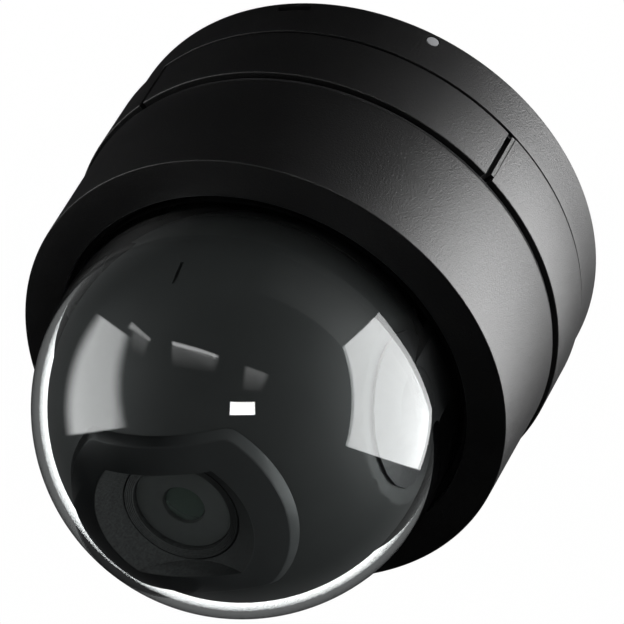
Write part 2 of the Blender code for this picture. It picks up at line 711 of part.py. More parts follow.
def hood_reach(turn, circle, flat):
    """How far the hood reaches at an angle from the front: a circle with two round-cornered flats."""
    turn = min(abs(turn), math.pi - abs(turn))
    across = math.sqrt((circle - HOOD_CORNER) ** 2 - (flat - HOOD_CORNER) ** 2)
    if flat * math.sin(turn) <= across * math.cos(turn):
        return flat / math.cos(turn)
    if turn < math.atan2(across, flat - HOOD_CORNER):
        along = across * math.sin(turn) + (flat - HOOD_CORNER) * math.cos(turn)
        return along + math.sqrt(along**2 - (circle - HOOD_CORNER) ** 2 + HOOD_CORNER**2)
    return circle


def hood_outline(azimuth):
    """Half section of the hood before its funnel is cut: neck, sloping rim and cap."""
    turn = math.radians(azimuth)
    rim = hood_reach(turn, HOOD_RIM, HOOD_FLAT)
    foot = hood_reach(turn, HOOD_FOOT, HOOD_FLAT + HOOD_FLANK)
    outline = [(0, NECK_BOTTOM), (NECK_OUTER, NECK_BOTTOM)]
    for radius, first, last in ((HOOD_UNDERSIDE, NECK_OUTER, foot), (HOOD_RADIUS, rim, 0)):
        for i in range(HOOD_STEPS + 1):
            reach = first + (last - first) * i / HOOD_STEPS
            outline.append((reach, math.sqrt(radius**2 - reach**2)))
    return outline


def hood_azimuths():
    quarter = [0.0, 12.0, 24.0, 36.0, 39.5, 43.0, 54.5, 66.0, 78.0, 90.0]
    half = quarter + [180.0 - azimuth for azimuth in reversed(quarter[:-1])]
    return half + [-azimuth for azimuth in reversed(half[1:-1])]


def hood_blank(bm):
    """The hood's outer shape, with a half section that changes round the lens axis."""
    loops = []
    for azimuth in hood_azimuths():
        section = hood_outline(azimuth)
        loops.append([bm.verts.new(polar(reach, azimuth, height)) for reach, height in section])
    for loop, after in zip(loops, loops[1:] + loops[:1]):
        for i in range(len(loop) - 1):
            bm.faces.new((loop[i], loop[i + 1], after[i + 1], after[i]))
    bmesh.ops.remove_doubles(bm, verts=bm.verts, dist=TOUCH)


def lens_hood(parent):
    """Light shield that all but meets the dome, with a funnel that has two flat sides."""
    bm = bmesh.new()
    hood_blank(bm)
    hood = finish(bm, "lens_hood", black_plastic(), parent)
    grow = 6.0 * MM
    rise = grow * (math.sqrt(HOOD_RADIUS**2 - FUNNEL_RADIUS**2) - FUNNEL_FLOOR)
    rise /= FUNNEL_RADIUS - FUNNEL_FLAT
    above = 39 * MM
    funnel = [(0, FUNNEL_FLOOR), (FUNNEL_FLAT, FUNNEL_FLOOR)]
    funnel += [(FUNNEL_FLAT + grow, FUNNEL_FLOOR + rise), (FUNNEL_FLAT + grow, above), (0, above)]
    cutter = lathe("funnel_cutter", funnel, None, parent)
    slab = box("funnel_slab", (-30 * MM, -FUNNEL_FLAT, 28 * MM), (30 * MM, FUNNEL_FLAT, 40 * MM),
               None, parent)
    combine(cutter, slab, "INTERSECT")
    combine(hood, cutter, "DIFFERENCE")
    over = 0.2 * MM
    bore = [(0, 27 * MM), (8.0 * MM, 27 * MM), (8.0 * MM, BEZEL_SEAT)]
    bore += [(FUNNEL_FLAT - 0.02 * MM, BEZEL_SEAT), (FUNNEL_FLAT - 0.02 * MM, FUNNEL_FLOOR + over)]
    bore += [(0, FUNNEL_FLOOR + over)]
    combine(hood, lathe("hood_bore", bore, None, parent), "DIFFERENCE")
    places = [at(*polar(RETAINER_SCREW_CIRCLE, azimuth)) for azimuth in spread(2, 90)]
    drills = rods("hood_drills", 0.9 * MM, 20 * MM, 29.4 * MM, places, parent=parent)
    combine(hood, drills, "DIFFERENCE")
    return drills


def lens_window(parent):
    """Flat glass in front of the lens, and the bezel ring round it."""
    base = BEZEL_SEAT + GAP
    top = FUNNEL_FLOOR - 0.4 * MM
    lathe("lens_window", [(0, base), (8.6 * MM, base), (8.6 * MM, top), (0, top)],
          coated_glass(), parent)
    bezel = [(8.9 * MM, base), (10.4 * MM, base), (10.4 * MM, FUNNEL_FLOOR)]
    bezel += [(9.4 * MM, FUNNEL_FLOOR), (8.9 * MM, FUNNEL_FLOOR - 0.3 * MM)]
    lathe("lens_bezel", bezel, black_plastic(), parent)


def roll_retainer(parent, drills):
    """Plate under the ball's lens hole that keeps the hood on the ball."""
    outline = ring_outline(BARREL_RADIUS + GAP, 17.8 * MM, RETAINER_BOTTOM, RETAINER_TOP)
    plate = lathe("roll_retainer", outline, bare_steel(), parent, segments=LENS_SEGMENTS)
    combine(plate, drills, "DIFFERENCE")
    for index, azimuth in enumerate(spread(2, 90)):
        flip = Matrix.Rotation(math.pi, 4, "X")
        place = at(*polar(RETAINER_SCREW_CIRCLE, azimuth, RETAINER_BOTTOM - GAP)) @ flip
        screw(f"head_screw_{index + 1}", place, 0.6 * MM, 3.6 * MM, 1.2 * MM, 0.8 * MM, parent)


def lens_barrel(parent):
    """Threaded lens barrel, its front glass and the holder it screws into."""
    nose = 3.9 * MM
    outline = [(0, BARREL_BOTTOM), (5.6 * MM, BARREL_BOTTOM), (5.6 * MM, 16 * MM)]
    outline += [(BARREL_RADIUS, 16 * MM), (BARREL_RADIUS, BARREL_TOP - 0.4 * MM)]
    outline += [(BARREL_RADIUS - 0.4 * MM, BARREL_TOP), (nose + 1.2 * MM, BARREL_TOP)]
    outline += [(nose, BARREL_TOP - 0.6 * MM), (nose, 25.0 * MM), (0, 25.0 * MM)]
    lathe("lens_barrel", outline, black_plastic(), parent, segments=LENS_SEGMENTS)
    bulge = 8.0 * MM
    reach = nose - GAP
    centre = BARREL_TOP + 0.4 * MM - bulge
    glass = [(0, 25.3 * MM), (reach, 25.3 * MM)] + arc_outline(bulge, reach, 0, centre)
    lathe("front_element", glass, coated_glass(), parent, segments=SMALL_SEGMENTS)


def lens_holder(parent):
    """Tube for the barrel on a box that holds the filter and stands over the sensor."""
    outer = 9.5 * MM
    tube = ring_outline(BARREL_RADIUS + GAP, outer, 12.7 * MM, HOLDER_TOP)
    holder = lathe("lens_holder", tube, black_plastic(), parent, segments=LENS_SEGMENTS)
    body = box("holder_box", (-13 * MM, -9 * MM, HOLDER_BOTTOM), (13 * MM, 9 * MM, 13.5 * MM),
               None, parent)
    combine(holder, body, "UNION")
    bm = bmesh.new()
    add_box(bm, (-10.5 * MM, -6.5 * MM, HOLDER_BOTTOM - 1 * MM), (10.5 * MM, 6.5 * MM, 12.4 * MM))
    combine(holder, finish(bm, "holder_cavity", None, parent), "DIFFERENCE")
    bore = [(0, 11 * MM), (5.9 * MM, 11 * MM), (5.9 * MM, 13.45 * MM)]
    bore += [(BARREL_RADIUS + GAP - 0.02 * MM, 13.45 * MM), (BARREL_RADIUS + GAP - 0.02 * MM, 26 * MM)]
    bore += [(0, 26 * MM)]
    cutter = lathe("holder_bore", bore, None, parent, segments=LENS_SEGMENTS)
    combine(holder, cutter, "DIFFERENCE")
    places = [at(side * 11.8 * MM, 0) for side in (-1, 1)]
    drills = rods("sensor_drills", 0.9 * MM, 5 * MM, 11 * MM, places, parent=parent)
    combine(holder, drills, "DIFFERENCE")
    return drills


def sensor_board(parent, drills):
    """Board with the image sensor, its two screws and its flat cable."""
    board = box("sensor_board", (-13 * MM, -9 * MM, 6.6 * MM), (13 * MM, 9 * MM, 8.0 * MM),
                circuit_board(), parent)
    combine(board, drills, "DIFFERENCE")
    box("image_sensor", (-4 * MM, -3.2 * MM, 8.3 * MM), (4 * MM, 3.2 * MM, 9.3 * MM),
        chip_black(), parent)
    flip = Matrix.Rotation(math.pi, 4, "X")
    for label, side in (("left", -1), ("right", 1)):
        place = at(side * 11.8 * MM, 0, 6.3 * MM) @ flip
        screw(f"sensor_screw_{label}", place, 0.6 * MM, 3.8 * MM, 1.1 * MM, 0.7 * MM, parent)


def sensor_cable(parent):
    """Flat cable with a slack S bend from the sensor board towards the ball's cable hole."""
    half_width = 3.5 * MM
    half_thickness = 0.15 * MM
    top = 6.2 * MM
    drop = 22.0 * MM
    swing = 5.0 * MM
    steps = 16
    curve = []
    for i in range(steps + 1):
        share = i / steps
        curve.append((swing * math.sin(2 * math.pi * share), top - drop * share))
    bm = bmesh.new()
    corners = []
    for i, (y, z) in enumerate(curve):
        before = curve[max(0, i - 1)]
        after = curve[min(steps, i + 1)]
        run = (after[0] - before[0], after[1] - before[1])
        length = math.hypot(*run)
        side = (-run[1] / length * half_thickness, run[0] / length * half_thickness)
        corners.append([
            bm.verts.new((x, y + sign * side[0], z + sign * side[1]))
            for x, sign in ((-half_width, -1), (half_width, -1), (half_width, 1), (-half_width, 1))
        ])
    for upper, lower in zip(corners, corners[1:]):
        for a in range(4):
            b = (a + 1) % 4
            bm.faces.new((upper[a], upper[b], lower[b], lower[a]))
    bm.faces.new(corners[0])
    bm.faces.new(corners[-1])
    finish(bm, "sensor_cable", amber_film(), parent)


def infrared_filter(parent):
    """Frame and glass of the infrared filter, which slide aside for night pictures."""
    frame = box("filter_frame", (-4.2 * MM, -5.0 * MM, 10.2 * MM), (4.2 * MM, 5.0 * MM, 11.4 * MM),
                black_plastic(), parent)
    window = rods("filter_cutter", 3.2 * MM, 9 * MM, 12 * MM, [at(0, 0)], SMALL_SEGMENTS, parent)
    combine(frame, window, "DIFFERENCE")
    bm = bmesh.new()
    add_rod(bm, 2.9 * MM, 10.4 * MM, 11.2 * MM, None, SMALL_SEGMENTS)
    finish(bm, "filter_glass", coated_glass(), parent)


def front_cover(parent):
    """Round cover with a shallow rising face, bayonet lugs and bosses for the clamp ring."""
    fall = 1.6 * MM
    outline = [(COVER_INNER, COVER_BOTTOM), (COVER_BOTTOM_RADIUS, COVER_BOTTOM)]
    outline += [(COVER_RADIUS, COVER_TOP - 0.5 * MM), (COVER_RADIUS - 0.12 * MM, COVER_TOP)]
    outline += [(COVER_HOLE, COVER_LIP), (COVER_HOLE, COVER_LIP - fall)]
    outline += [(COVER_HOLE + 0.4 * MM, COVER_CEILING), (COVER_INNER, COVER_CEILING)]
    cover = lathe("front_cover", outline, black_paint(), parent)
    bm = bmesh.new()
    for azimuth in spread(LUG_COUNT, 90.0):
        lug = ring_outline(42.2 * MM, COVER_INNER + 0.8 * MM, 26.4 * MM, 28.3 * MM)
        add_lathe(bm, lug, segments=3, start=azimuth - LUG_HALF, sweep=2 * LUG_HALF)
    for azimuth in spread(CLAMP_SCREWS, 45.0):
        boss = at(*polar(CLAMP_SCREW_RADIUS + 0.2 * MM, azimuth))
        add_rod(bm, 1.8 * MM, CLAMP_BOTTOM + 2.2 * MM, COVER_CEILING + 0.8 * MM, boss)
    combine(cover, finish(bm, "cover_bosses", None, parent), "UNION")
    places = [at(*polar(CLAMP_SCREW_RADIUS, azimuth)) for azimuth in spread(CLAMP_SCREWS, 45.0)]
    drills = rods("clamp_drills", 1.0 * MM, 40 * MM, COVER_CEILING + 0.3 * MM, places,
                  parent=parent)
    combine(cover, drills, "DIFFERENCE")
    return drills


def dome_window(parent):
    """Clear dome: hemisphere, skirt and a flange with notches for the clamp bosses."""
    inner = DOME_RADIUS - DOME_WALL
    outline = [(inner, FLANGE_BOTTOM), (FLANGE_RADIUS, FLANGE_BOTTOM)]
    outline += [(FLANGE_RADIUS, FLANGE_TOP), (DOME_RADIUS, FLANGE_TOP)]
    outline += arc_angles(DOME_RADIUS, 90, 0, BALL_HEIGHT)
    outline += arc_angles(inner, 0, 90, BALL_HEIGHT)
    dome = lathe("dome_window", outline, clear_plastic(), parent)
    places = [at(*polar(CLAMP_SCREW_RADIUS + 0.2 * MM, azimuth))
              for azimuth in spread(CLAMP_SCREWS, 45.0)]
    notches = rods("flange_notches", 2.2 * MM, 40 * MM, 55 * MM, places, parent=parent)
    combine(dome, notches, "DIFFERENCE")
    outline = ring_outline(DOME_RADIUS + 1.8 * MM, 40.2 * MM, FLANGE_TOP + 0.2 * MM,
                           COVER_CEILING - 0.2 * MM)
    lathe("dome_seal", outline, black_rubber(), parent)


def dome_clamp(parent, drills):
    """Ring that clamps the dome's flange against the cover, and its screws."""
    top = FLANGE_BOTTOM - GAP
    outline = ring_outline(DOME_RADIUS + 0.4 * MM, CLAMP_RADIUS, CLAMP_BOTTOM, top)
    ring = lathe("dome_clamp_ring", outline, bare_steel(), parent)
    combine(ring, drills, "DIFFERENCE")
    flip = Matrix.Rotation(math.pi, 4, "X")
    for index, azimuth in enumerate(spread(CLAMP_SCREWS, 45.0)):
        place = at(*polar(CLAMP_SCREW_RADIUS, azimuth, CLAMP_BOTTOM - GAP)) @ flip
        screw(f"clamp_screw_{index + 1}", place, 0.7 * MM, 4.6 * MM, 1.4 * MM, 0.9 * MM, parent)


def build():
    clear_scene()
    housing = joint_empty("housing_axis", (0, 0, 0))
    cover = joint_empty("cover_axis", (0, 0, 0), housing)
    pan = joint_empty("pan_axis", (0, 0, 0), housing)
    tilt = joint_empty("tilt_axis", (0, 0, BALL_HEIGHT), pan)
    roll = joint_empty("roll_axis", (0, 0, BALL_HEIGHT), tilt)
    shutter = joint_empty("filter_axis", (0, 0, BALL_HEIGHT), roll)
    reset = joint_empty("reset_axis", (0, 0, RESET_HEIGHT), housing)
    mount_plate()
    rear_housing(housing)
    side_panel(housing)
    seam_gasket(housing)
    lock_screw(housing)
    cable_grommet(housing)
    main_board(housing)
    processor(housing)
    network_jack(housing)
    reset_switch(housing)
    reset_button(reset)
    chassis(housing)
    pan_retainer(housing)
    foot_drills = turntable(pan)
    yoke(pan, foot_drills)
    pin_clips(pan)
    tilt_bearings(tilt)
    ball_front(tilt)
    ball_rear(tilt)
    hood_drills = lens_hood(roll)
    lens_window(roll)
    roll_retainer(roll, hood_drills)
    lens_barrel(roll)
    sensor_drills = lens_holder(roll)
    sensor_board(roll, sensor_drills)
    sensor_cable(roll)
    infrared_filter(shutter)
    clamp_drills = front_cover(cover)
    dome_window(cover)
    dome_clamp(cover, clamp_drills)


build()
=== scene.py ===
"""Looks of the dome camera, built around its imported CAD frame.

Metres, in the frame's own axes: the mounting face is on z = 0, the dome points up +Z and the
front is -Y. Azimuths are in degrees about +Z: 0 is the front and they grow towards +X.
"""

import json
import math

import bmesh
import bpy
from mathutils import Matrix, Vector

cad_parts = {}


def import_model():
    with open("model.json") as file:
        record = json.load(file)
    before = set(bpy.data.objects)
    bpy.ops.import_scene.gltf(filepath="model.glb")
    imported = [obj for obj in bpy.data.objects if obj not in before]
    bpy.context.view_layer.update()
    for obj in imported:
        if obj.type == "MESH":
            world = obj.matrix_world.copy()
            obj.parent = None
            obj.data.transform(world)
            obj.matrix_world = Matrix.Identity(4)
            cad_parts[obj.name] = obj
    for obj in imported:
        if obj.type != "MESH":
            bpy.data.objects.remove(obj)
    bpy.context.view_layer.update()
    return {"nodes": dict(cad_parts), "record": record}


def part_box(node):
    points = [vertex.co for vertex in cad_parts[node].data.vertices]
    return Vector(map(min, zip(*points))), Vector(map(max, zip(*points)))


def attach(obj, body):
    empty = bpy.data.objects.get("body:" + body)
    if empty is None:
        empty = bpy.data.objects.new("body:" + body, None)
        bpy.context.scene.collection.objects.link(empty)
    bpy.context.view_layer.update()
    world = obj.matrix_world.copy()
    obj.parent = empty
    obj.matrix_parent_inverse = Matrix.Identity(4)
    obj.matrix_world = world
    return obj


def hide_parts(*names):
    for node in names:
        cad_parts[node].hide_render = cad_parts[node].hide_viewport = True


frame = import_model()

MM = 0.001
NODES = frame["nodes"]
SLOTS = {part["node"]: part["material_slot"] for part in frame["record"]["subparts"]}
ROUND = 180
PANEL_STEPS = 46
LENS_ROUND = 96
SMALL_ROUND = 32
FILLET_STEPS = 4
TOUCH = 1e-7
SHARP_ANGLE = math.radians(35)


# Places: some are read from the CAD nodes, the rest are given in millimetres.

def low(node):
    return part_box(node)[0]


def high(node):
    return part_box(node)[1]


DOME_RADIUS = 37.5 * MM
BALL_CENTRE = high("dome_window").z - DOME_RADIUS
REAR_RADIUS = high("rear_housing").x - 0.55 * MM
BAND_RADIUS = high("rear_housing").x
BAND_TOP_RADIUS = BAND_RADIUS - 0.15 * MM
BAND_TOP = low("seam_gasket").z + 0.2 * MM  # half a millimetre above the CAD's edge
BAND_BOTTOM = low("side_panel").z - 0.5 * MM
POCKET_RADIUS = 44.4 * MM
HOUSING_INNER = 42.8 * MM
FLOOR_BOTTOM = 3.4 * MM
FLOOR_TOP = 5.2 * MM
FLOOR_HOLE = 8.3 * MM
GROOVE = 0.2 * MM
GROOVE_DEPTH = 0.4 * MM
LIP_START = 8.0 * MM
LIP_RADIUS = BAND_RADIUS - 0.1 * MM
LIP_TOP = BAND_BOTTOM - 0.32 * MM
GAP = 0.3 * MM

PANEL_START = -58.2
PANEL_END = 29.4
PANEL_SLOT = 1.3
PANEL_INNER = 45.3 * MM
SLOT_NOTCH_SWEEP = 0.9
SLOT_NOTCH_DEPTH = 1.2 * MM
SLOT_STEP_DEPTH = 0.22 * MM
PRY_NOTCH_HALF_WIDTH = 3.3 * MM
PRY_NOTCH_BOTTOM = 1.7 * MM
PRY_NOTCH_TOP = 3.1 * MM
LOCK_AZIMUTH = -33.3
LOCK_HEIGHT = 2.5 * MM
LOCK_RADIUS = 1.15 * MM
LOCK_HOLE = 1.35 * MM
LOCK_BOTTOM = 43.35 * MM
BEYOND = 50 * MM

COVER_BOTTOM = low("front_cover").z + 0.5 * MM  # raised with the band
COVER_BOTTOM_RADIUS = high("front_cover").x
COVER_RADIUS = COVER_BOTTOM_RADIUS - 0.48 * MM
COVER_LIP = high("front_cover").z
COVER_TOP = COVER_LIP - 0.76 * MM
COVER_INNER = 44.2 * MM
COVER_CEILING = COVER_LIP - 2.06 * MM
COVER_HOLE = 38.88 * MM

DOME_WALL = 1.42 * MM
FLANGE_RADIUS = 41.6 * MM
FLANGE_BOTTOM = low("dome_window").z
FLANGE_TOP = FLANGE_BOTTOM + 1.7 * MM

BALL_RADIUS = 34.6 * MM
BALL_WALL = 1.8 * MM
BALL_SPLIT = -12.2 * MM
BALL_FLAT = 30.6 * MM
BALL_LENS_HOLE = 14.5 * MM
BALL_CABLE_HOLE = 9.0 * MM
SPLIT_GAP = 0.3 * MM

HOOD_RADIUS = 35.8 * MM
HOOD_UNDERSIDE = 34.65 * MM
HOOD_RIM = 19.8 * MM
HOOD_FOOT = 21.0 * MM
HOOD_FLAT = 15.2 * MM
HOOD_FLANK = 1.2 * MM
HOOD_CORNER = 3.0 * MM
HOOD_ROUND = 144
FUNNEL_RADIUS = 14.6 * MM
FUNNEL_FLAT = 10.7 * MM
FUNNEL_FLOOR = 29.7 * MM
BEZEL_SEAT = FUNNEL_FLOOR - 2.0 * MM
NECK_OUTER = 14.2 * MM
NECK_BOTTOM = 27.1 * MM
WINDOW_TOP = FUNNEL_FLOOR - 0.4 * MM
WINDOW_BOTTOM = WINDOW_TOP - 0.65 * MM
BEZEL_HOLE = 8.9 * MM
BEZEL_RADIUS = 10.4 * MM
BEZEL_FOOT = BEZEL_SEAT + 0.3 * MM
BEZEL_GROOVES = 4
BARREL_RADIUS = 7.0 * MM
BARREL_TAIL_RADIUS = 5.6 * MM
BARREL_FACE_RADIUS = 8.75 * MM
BARREL_FACE = WINDOW_TOP - 0.9 * MM
BARREL_SHOULDER = 16 * MM
BARREL_BOTTOM = 13.8 * MM
ELEMENT_HOLE = 3.85 * MM
ELEMENT_HOLE_FLOOR = 25 * MM
ELEMENT_BULGE = 9.0 * MM
TURNING_MARKS_CENTRE = 27.2 * MM


# Geometry helpers.

def polar(radius, azimuth, height=0.0):
    turn = math.radians(azimuth)
    return Vector((radius * math.sin(turn), -radius * math.cos(turn), height))


def at(x, y, z=0.0):
    return Matrix.Translation((x, y, z))


def outward(azimuth, height):
    """A frame at a height on the axis whose Z points outwards at an azimuth."""
    turn = Matrix.Rotation(math.radians(azimuth), 4, "Z")
    lay = Matrix.Rotation(math.radians(90), 4, "X")
    return Matrix.Translation((0, 0, height)) @ turn @ lay


def sideways(side):
    """A frame whose Z points along +X or -X."""
    return Matrix.Rotation(math.radians(90 * side), 4, "Y")


IN_BALL = at(0, 0, BALL_CENTRE)


def fillet(before, corner, after, radius):
    """Points of an arc that rounds a corner."""
    u = (before - corner).normalized()
    v = (after - corner).normalized()
    half = math.acos(max(-1.0, min(1.0, u.dot(v)))) / 2
    if half < 0.05 or half > math.pi / 2 - 0.02:
        return [corner]
    reach = min(radius / math.tan(half), 0.45 * (before - corner).length,
                0.45 * (after - corner).length)
    radius = reach * math.tan(half)
    centre = corner + (u + v).normalized() * (radius / math.sin(half))
    start = corner + u * reach - centre
    end = corner + v * reach - centre
    turn = math.pi - 2 * half
    if start.x * end.y - start.y * end.x < 0:
        turn = -turn
    points = []
    for i in range(FILLET_STEPS + 1):
        a = turn * i / FILLET_STEPS
        points.append(centre + Vector((start.x * math.cos(a) - start.y * math.sin(a),
                                       start.x * math.sin(a) + start.y * math.cos(a))))
    return points


def soften(outline):
    """Rounds the corners of a closed outline of (radius, height[, fillet]) points."""
    corners = [Vector(point[:2]) for point in outline]
    points = []
    for i, point in enumerate(outline):
        if len(point) < 3 or point[2] <= 0:
            points.append(corners[i])
            continue
        after = corners[(i + 1) % len(corners)]
        points += fillet(corners[i - 1], corners[i], after, point[2])
    return [(point.x, point.y) for point in points]


def arc(radius, first, last, step=2.0, centre=0.0):
    """Points on a circle about (0, centre) between two angles from the axis, in degrees."""
    steps = max(2, math.ceil(abs(last - first) / step))
    turns = [math.radians(first + (last - first) * i / steps) for i in range(steps + 1)]
    return [(radius * math.sin(turn), centre + radius * math.cos(turn)) for turn in turns]


def reach_angle(reach, radius):
    return math.degrees(math.asin(reach / radius))


def height_angle(height, radius):
    return math.degrees(math.acos(height / radius))


def ring(inner, outer, bottom, top, edge=0.0):
    corners = [(inner, bottom), (outer, bottom), (outer, top), (inner, top)]
    return [(radius, height, edge) for radius, height in corners]


def add_turned(bm, outline, segments=ROUND, start=0.0, sweep=360.0, place=None):
    """Adds a closed outline of (radius, height[, fillet]) points turned about +Z."""
    whole = sweep >= 360.0
    count = segments if whole else segments + 1
    rings = []
    made = []
    for radius, height in soften(outline):
        if radius < TOUCH:
            loop = [bm.verts.new((0, 0, height))] * count
            made.append(loop[0])
        else:
            turns = [start + sweep * k / segments for k in range(count)]
            loop = [bm.verts.new(polar(radius, turn, height)) for turn in turns]
            made += loop
        rings.append(loop)
    for a, b in zip(rings, rings[1:] + rings[:1]):
        for k in range(segments):
            m = (k + 1) % count
            corners = list(dict.fromkeys((a[k], a[m], b[m], b[k])))
            if len(corners) > 2:
                bm.faces.new(corners)
    if not whole:
        for k in (0, -1):
            bm.faces.new(list(dict.fromkeys(loop[k] for loop in rings)))
    if place:
        bmesh.ops.transform(bm, matrix=place, verts=made)


def add_box(bm, near, far, azimuth=0.0, place=None):
    size = [b - a for a, b in zip(near, far)]
    middle = [(a + b) / 2 for a, b in zip(near, far)]
    turn = Matrix.Rotation(math.radians(azimuth), 4, "Z")
    body = turn @ Matrix.Translation(middle) @ Matrix.Diagonal((*size, 1.0))
    bmesh.ops.create_cube(bm, size=1.0, matrix=(place or Matrix.Identity(4)) @ body)


def add_rod(bm, radius, start, end, place=None, segments=SMALL_ROUND):
    shift = Matrix.Translation((0, 0, (start + end) / 2))
    bmesh.ops.create_cone(
        bm, cap_ends=True, segments=segments, radius1=radius, radius2=radius,
        depth=end - start, matrix=(place or Matrix.Identity(4)) @ shift,
    )


def solid(name, bm):
    """An object from a bmesh, with its faces pointing out."""
    bmesh.ops.recalc_face_normals(bm, faces=bm.faces)
    mesh = bpy.data.meshes.new(name)
    bm.to_mesh(mesh)
    bm.free()
    made = bpy.data.objects.new(name, mesh)
    bpy.context.scene.collection.objects.link(made)
    return made


def turned(name, outline, **spin):
    bm = bmesh.new()
    add_turned(bm, outline, **spin)
    return solid(name, bm)


def carve(target, guide, operation):
    """Applies one exact Boolean and removes the guide."""
    step = target.modifiers.new("carve", "BOOLEAN")
    step.operation = operation
    step.solver = "EXACT"
    step.object = guide
    bpy.context.view_layer.update()
    graph = bpy.context.evaluated_depsgraph_get()
    mesh = bpy.data.meshes.new_from_object(target.evaluated_get(graph))
    target.modifiers.clear()
    old = target.data
    target.data = mesh
    bpy.data.meshes.remove(old)
    bpy.data.objects.remove(guide, do_unlink=True)


def dress(made, body, finish, node=None, edge=0.0):
    """Gives a piece its material, its soft edges and the body it rides on."""
    mesh = made.data
    mesh.materials.clear()
    mesh.materials.append(finish)
    mesh.shade_smooth()
    mesh.set_sharp_from_angle(angle=SHARP_ANGLE)
    if edge > 0:
        soft = made.modifiers.new("soft_edges", "BEVEL")
        soft.width = edge
        soft.segments = 2
        soft.limit_method = "ANGLE"
        soft.angle_limit = SHARP_ANGLE
        soft.harden_normals = True
    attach(made, body)
    if node:
        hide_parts(node)
    return made


# Materials. Every colour, roughness and bump comes from nodes on the object's own coordinates.

class NodeTree:
    """A shader's nodes, with the few wiring steps that everything repeats."""

    def __init__(self, tree):
        self.tree = tree
        self.nodes = tree.nodes

    def link(self, a, b):
        self.tree.links.new(a, b)

    def node(self, kind, **values):
        made = self.nodes.new(kind)
        for key, value in values.items():
            if key in made.inputs:
                made.inputs[key].default_value = value
            else:
                setattr(made, key, value)
        return made

    def axes(self, source):
        """The three parts of a vector."""
        split = self.node("ShaderNodeSeparateXYZ")
        self.link(source, split.inputs["Vector"])
        return split.outputs

    def math(self, operation, a, b=None):
        made = self.node("ShaderNodeMath", operation=operation)
        for socket, value in zip(made.inputs, (a, b)):
            if value is None:
                continue
            if isinstance(value, (int, float)):
                socket.default_value = value
            else:
                self.link(value, socket)
        return made.outputs["Value"]

    def spread(self, source, low_value, high_value, start=0.3, end=0.7):
        """Takes a value from its own range (start to end) to a new one, and clamps it there."""
        made = self.node("ShaderNodeMapRange")
        made.inputs["From Min"].default_value = start
        made.inputs["From Max"].default_value = end
        made.inputs["To Min"].default_value = low_value
        made.inputs["To Max"].default_value = high_value
        self.link(source, made.inputs["Value"])
        return made.outputs["Result"]

    def mix(self, factor, first, second):
        """A colour between two, each a socket or a tuple."""
        made = self.node("ShaderNodeMix", data_type="RGBA")
        self.link(factor, made.inputs["Factor"])
        for socket, value in ((made.inputs[6], first), (made.inputs[7], second)):
            if isinstance(value, tuple):
                socket.default_value = (*value, 1.0)
            else:
                self.link(value, socket)
        return made.outputs[2]


class Finish(NodeTree):
    """A new material and the textures that lie on its object's own coordinates."""

    def __init__(self, name):
        self.material = bpy.data.materials.new(name)
        self.material.use_nodes = True
        super().__init__(self.material.node_tree)
        self.shader = self.nodes["Principled BSDF"]
        self.output = self.nodes["Material Output"]
        self.coords = self.nodes.new("ShaderNodeTexCoord").outputs["Object"]

    def noise(self, scale, detail=4.0, roughness=0.6, stretch=None):
        made = self.node("ShaderNodeTexNoise", Scale=scale, Detail=detail, Roughness=roughness)
        source = self.coords
        if stretch:
            mapping = self.node("ShaderNodeMapping", Scale=stretch)
            self.link(source, mapping.inputs["Vector"])
            source = mapping.outputs["Vector"]
        self.link(source, made.inputs["Vector"])
        return made.outputs["Fac"]

    def cells(self, scale):
        made = self.node("ShaderNodeTexVoronoi", Scale=scale)
        self.link(self.coords, made.inputs["Vector"])
        return made.outputs["Distance"]

    def away_from(self, point):
        made = self.node("ShaderNodeVectorMath", operation="DISTANCE")
        self.link(self.coords, made.inputs[0])
        made.inputs[1].default_value = point
        return made.outputs["Value"]

    def colour(self, source):
        self.link(source, self.shader.inputs["Base Color"])

    def rough(self, source):
        self.link(source, self.shader.inputs["Roughness"])

    def bump(self, source, depth, strength=1.0, under=None):
        made = self.node("ShaderNodeBump", Strength=strength, Distance=depth)
        self.link(source, made.inputs["Height"])
        if under:
            self.link(under, made.inputs["Normal"])
        return made.outputs["Normal"]

    def normal(self, source):
        self.link(source, self.shader.inputs["Normal"])


def moulded(name, dark, light, rough, grain, depth, specular=0.5, ior=1.5):
    """A finish of black plastic or paint, with a fine grain and faint cloudiness."""
    made = Finish(name)
    cloud = made.noise(60, 3.0)
    fine = made.noise(grain, 3.0, 0.7)
    coarse = made.noise(grain * 0.6, 2.0, 0.5)
    made.colour(made.mix(made.spread(cloud, 0.0, 1.0), dark, light))
    made.rough(made.spread(fine, *rough))
    base = made.bump(coarse, depth * 0.6, 0.5)
    made.normal(made.bump(fine, depth, 0.8, base))
    made.shader.inputs["Specular IOR Level"].default_value = specular
    made.shader.inputs["IOR"].default_value = ior
    return made


def powder_coat():
    """Satin black powder coat, duller on the faces that point along the axis."""
    coat = moulded("black_powder_coat", (0.0022, 0.0022, 0.0023), (0.004, 0.004, 0.0042),
                   rough=(0.33, 0.46), grain=3300, depth=0.11 * MM, ior=1.58)
    facing = coat.node("ShaderNodeNewGeometry").outputs["True Normal"]
    gloss = coat.spread(coat.axes(facing)["Z"], 1.0, 0.3, 0.5, 0.9)
    coat.link(gloss, coat.shader.inputs["Specular IOR Level"])
    return coat.material


def ball_plastic():
    return moulded("black_ball_plastic", (0.026, 0.0275, 0.027), (0.031, 0.0325, 0.032),
                   rough=(0.50, 0.58), grain=5200, depth=0.006 * MM, specular=0.3).material


def arm_plastic():
    return moulded("black_arm_plastic", (0.012, 0.012, 0.013), (0.018, 0.018, 0.019),
                   rough=(0.45, 0.6), grain=3600, depth=0.02 * MM).material


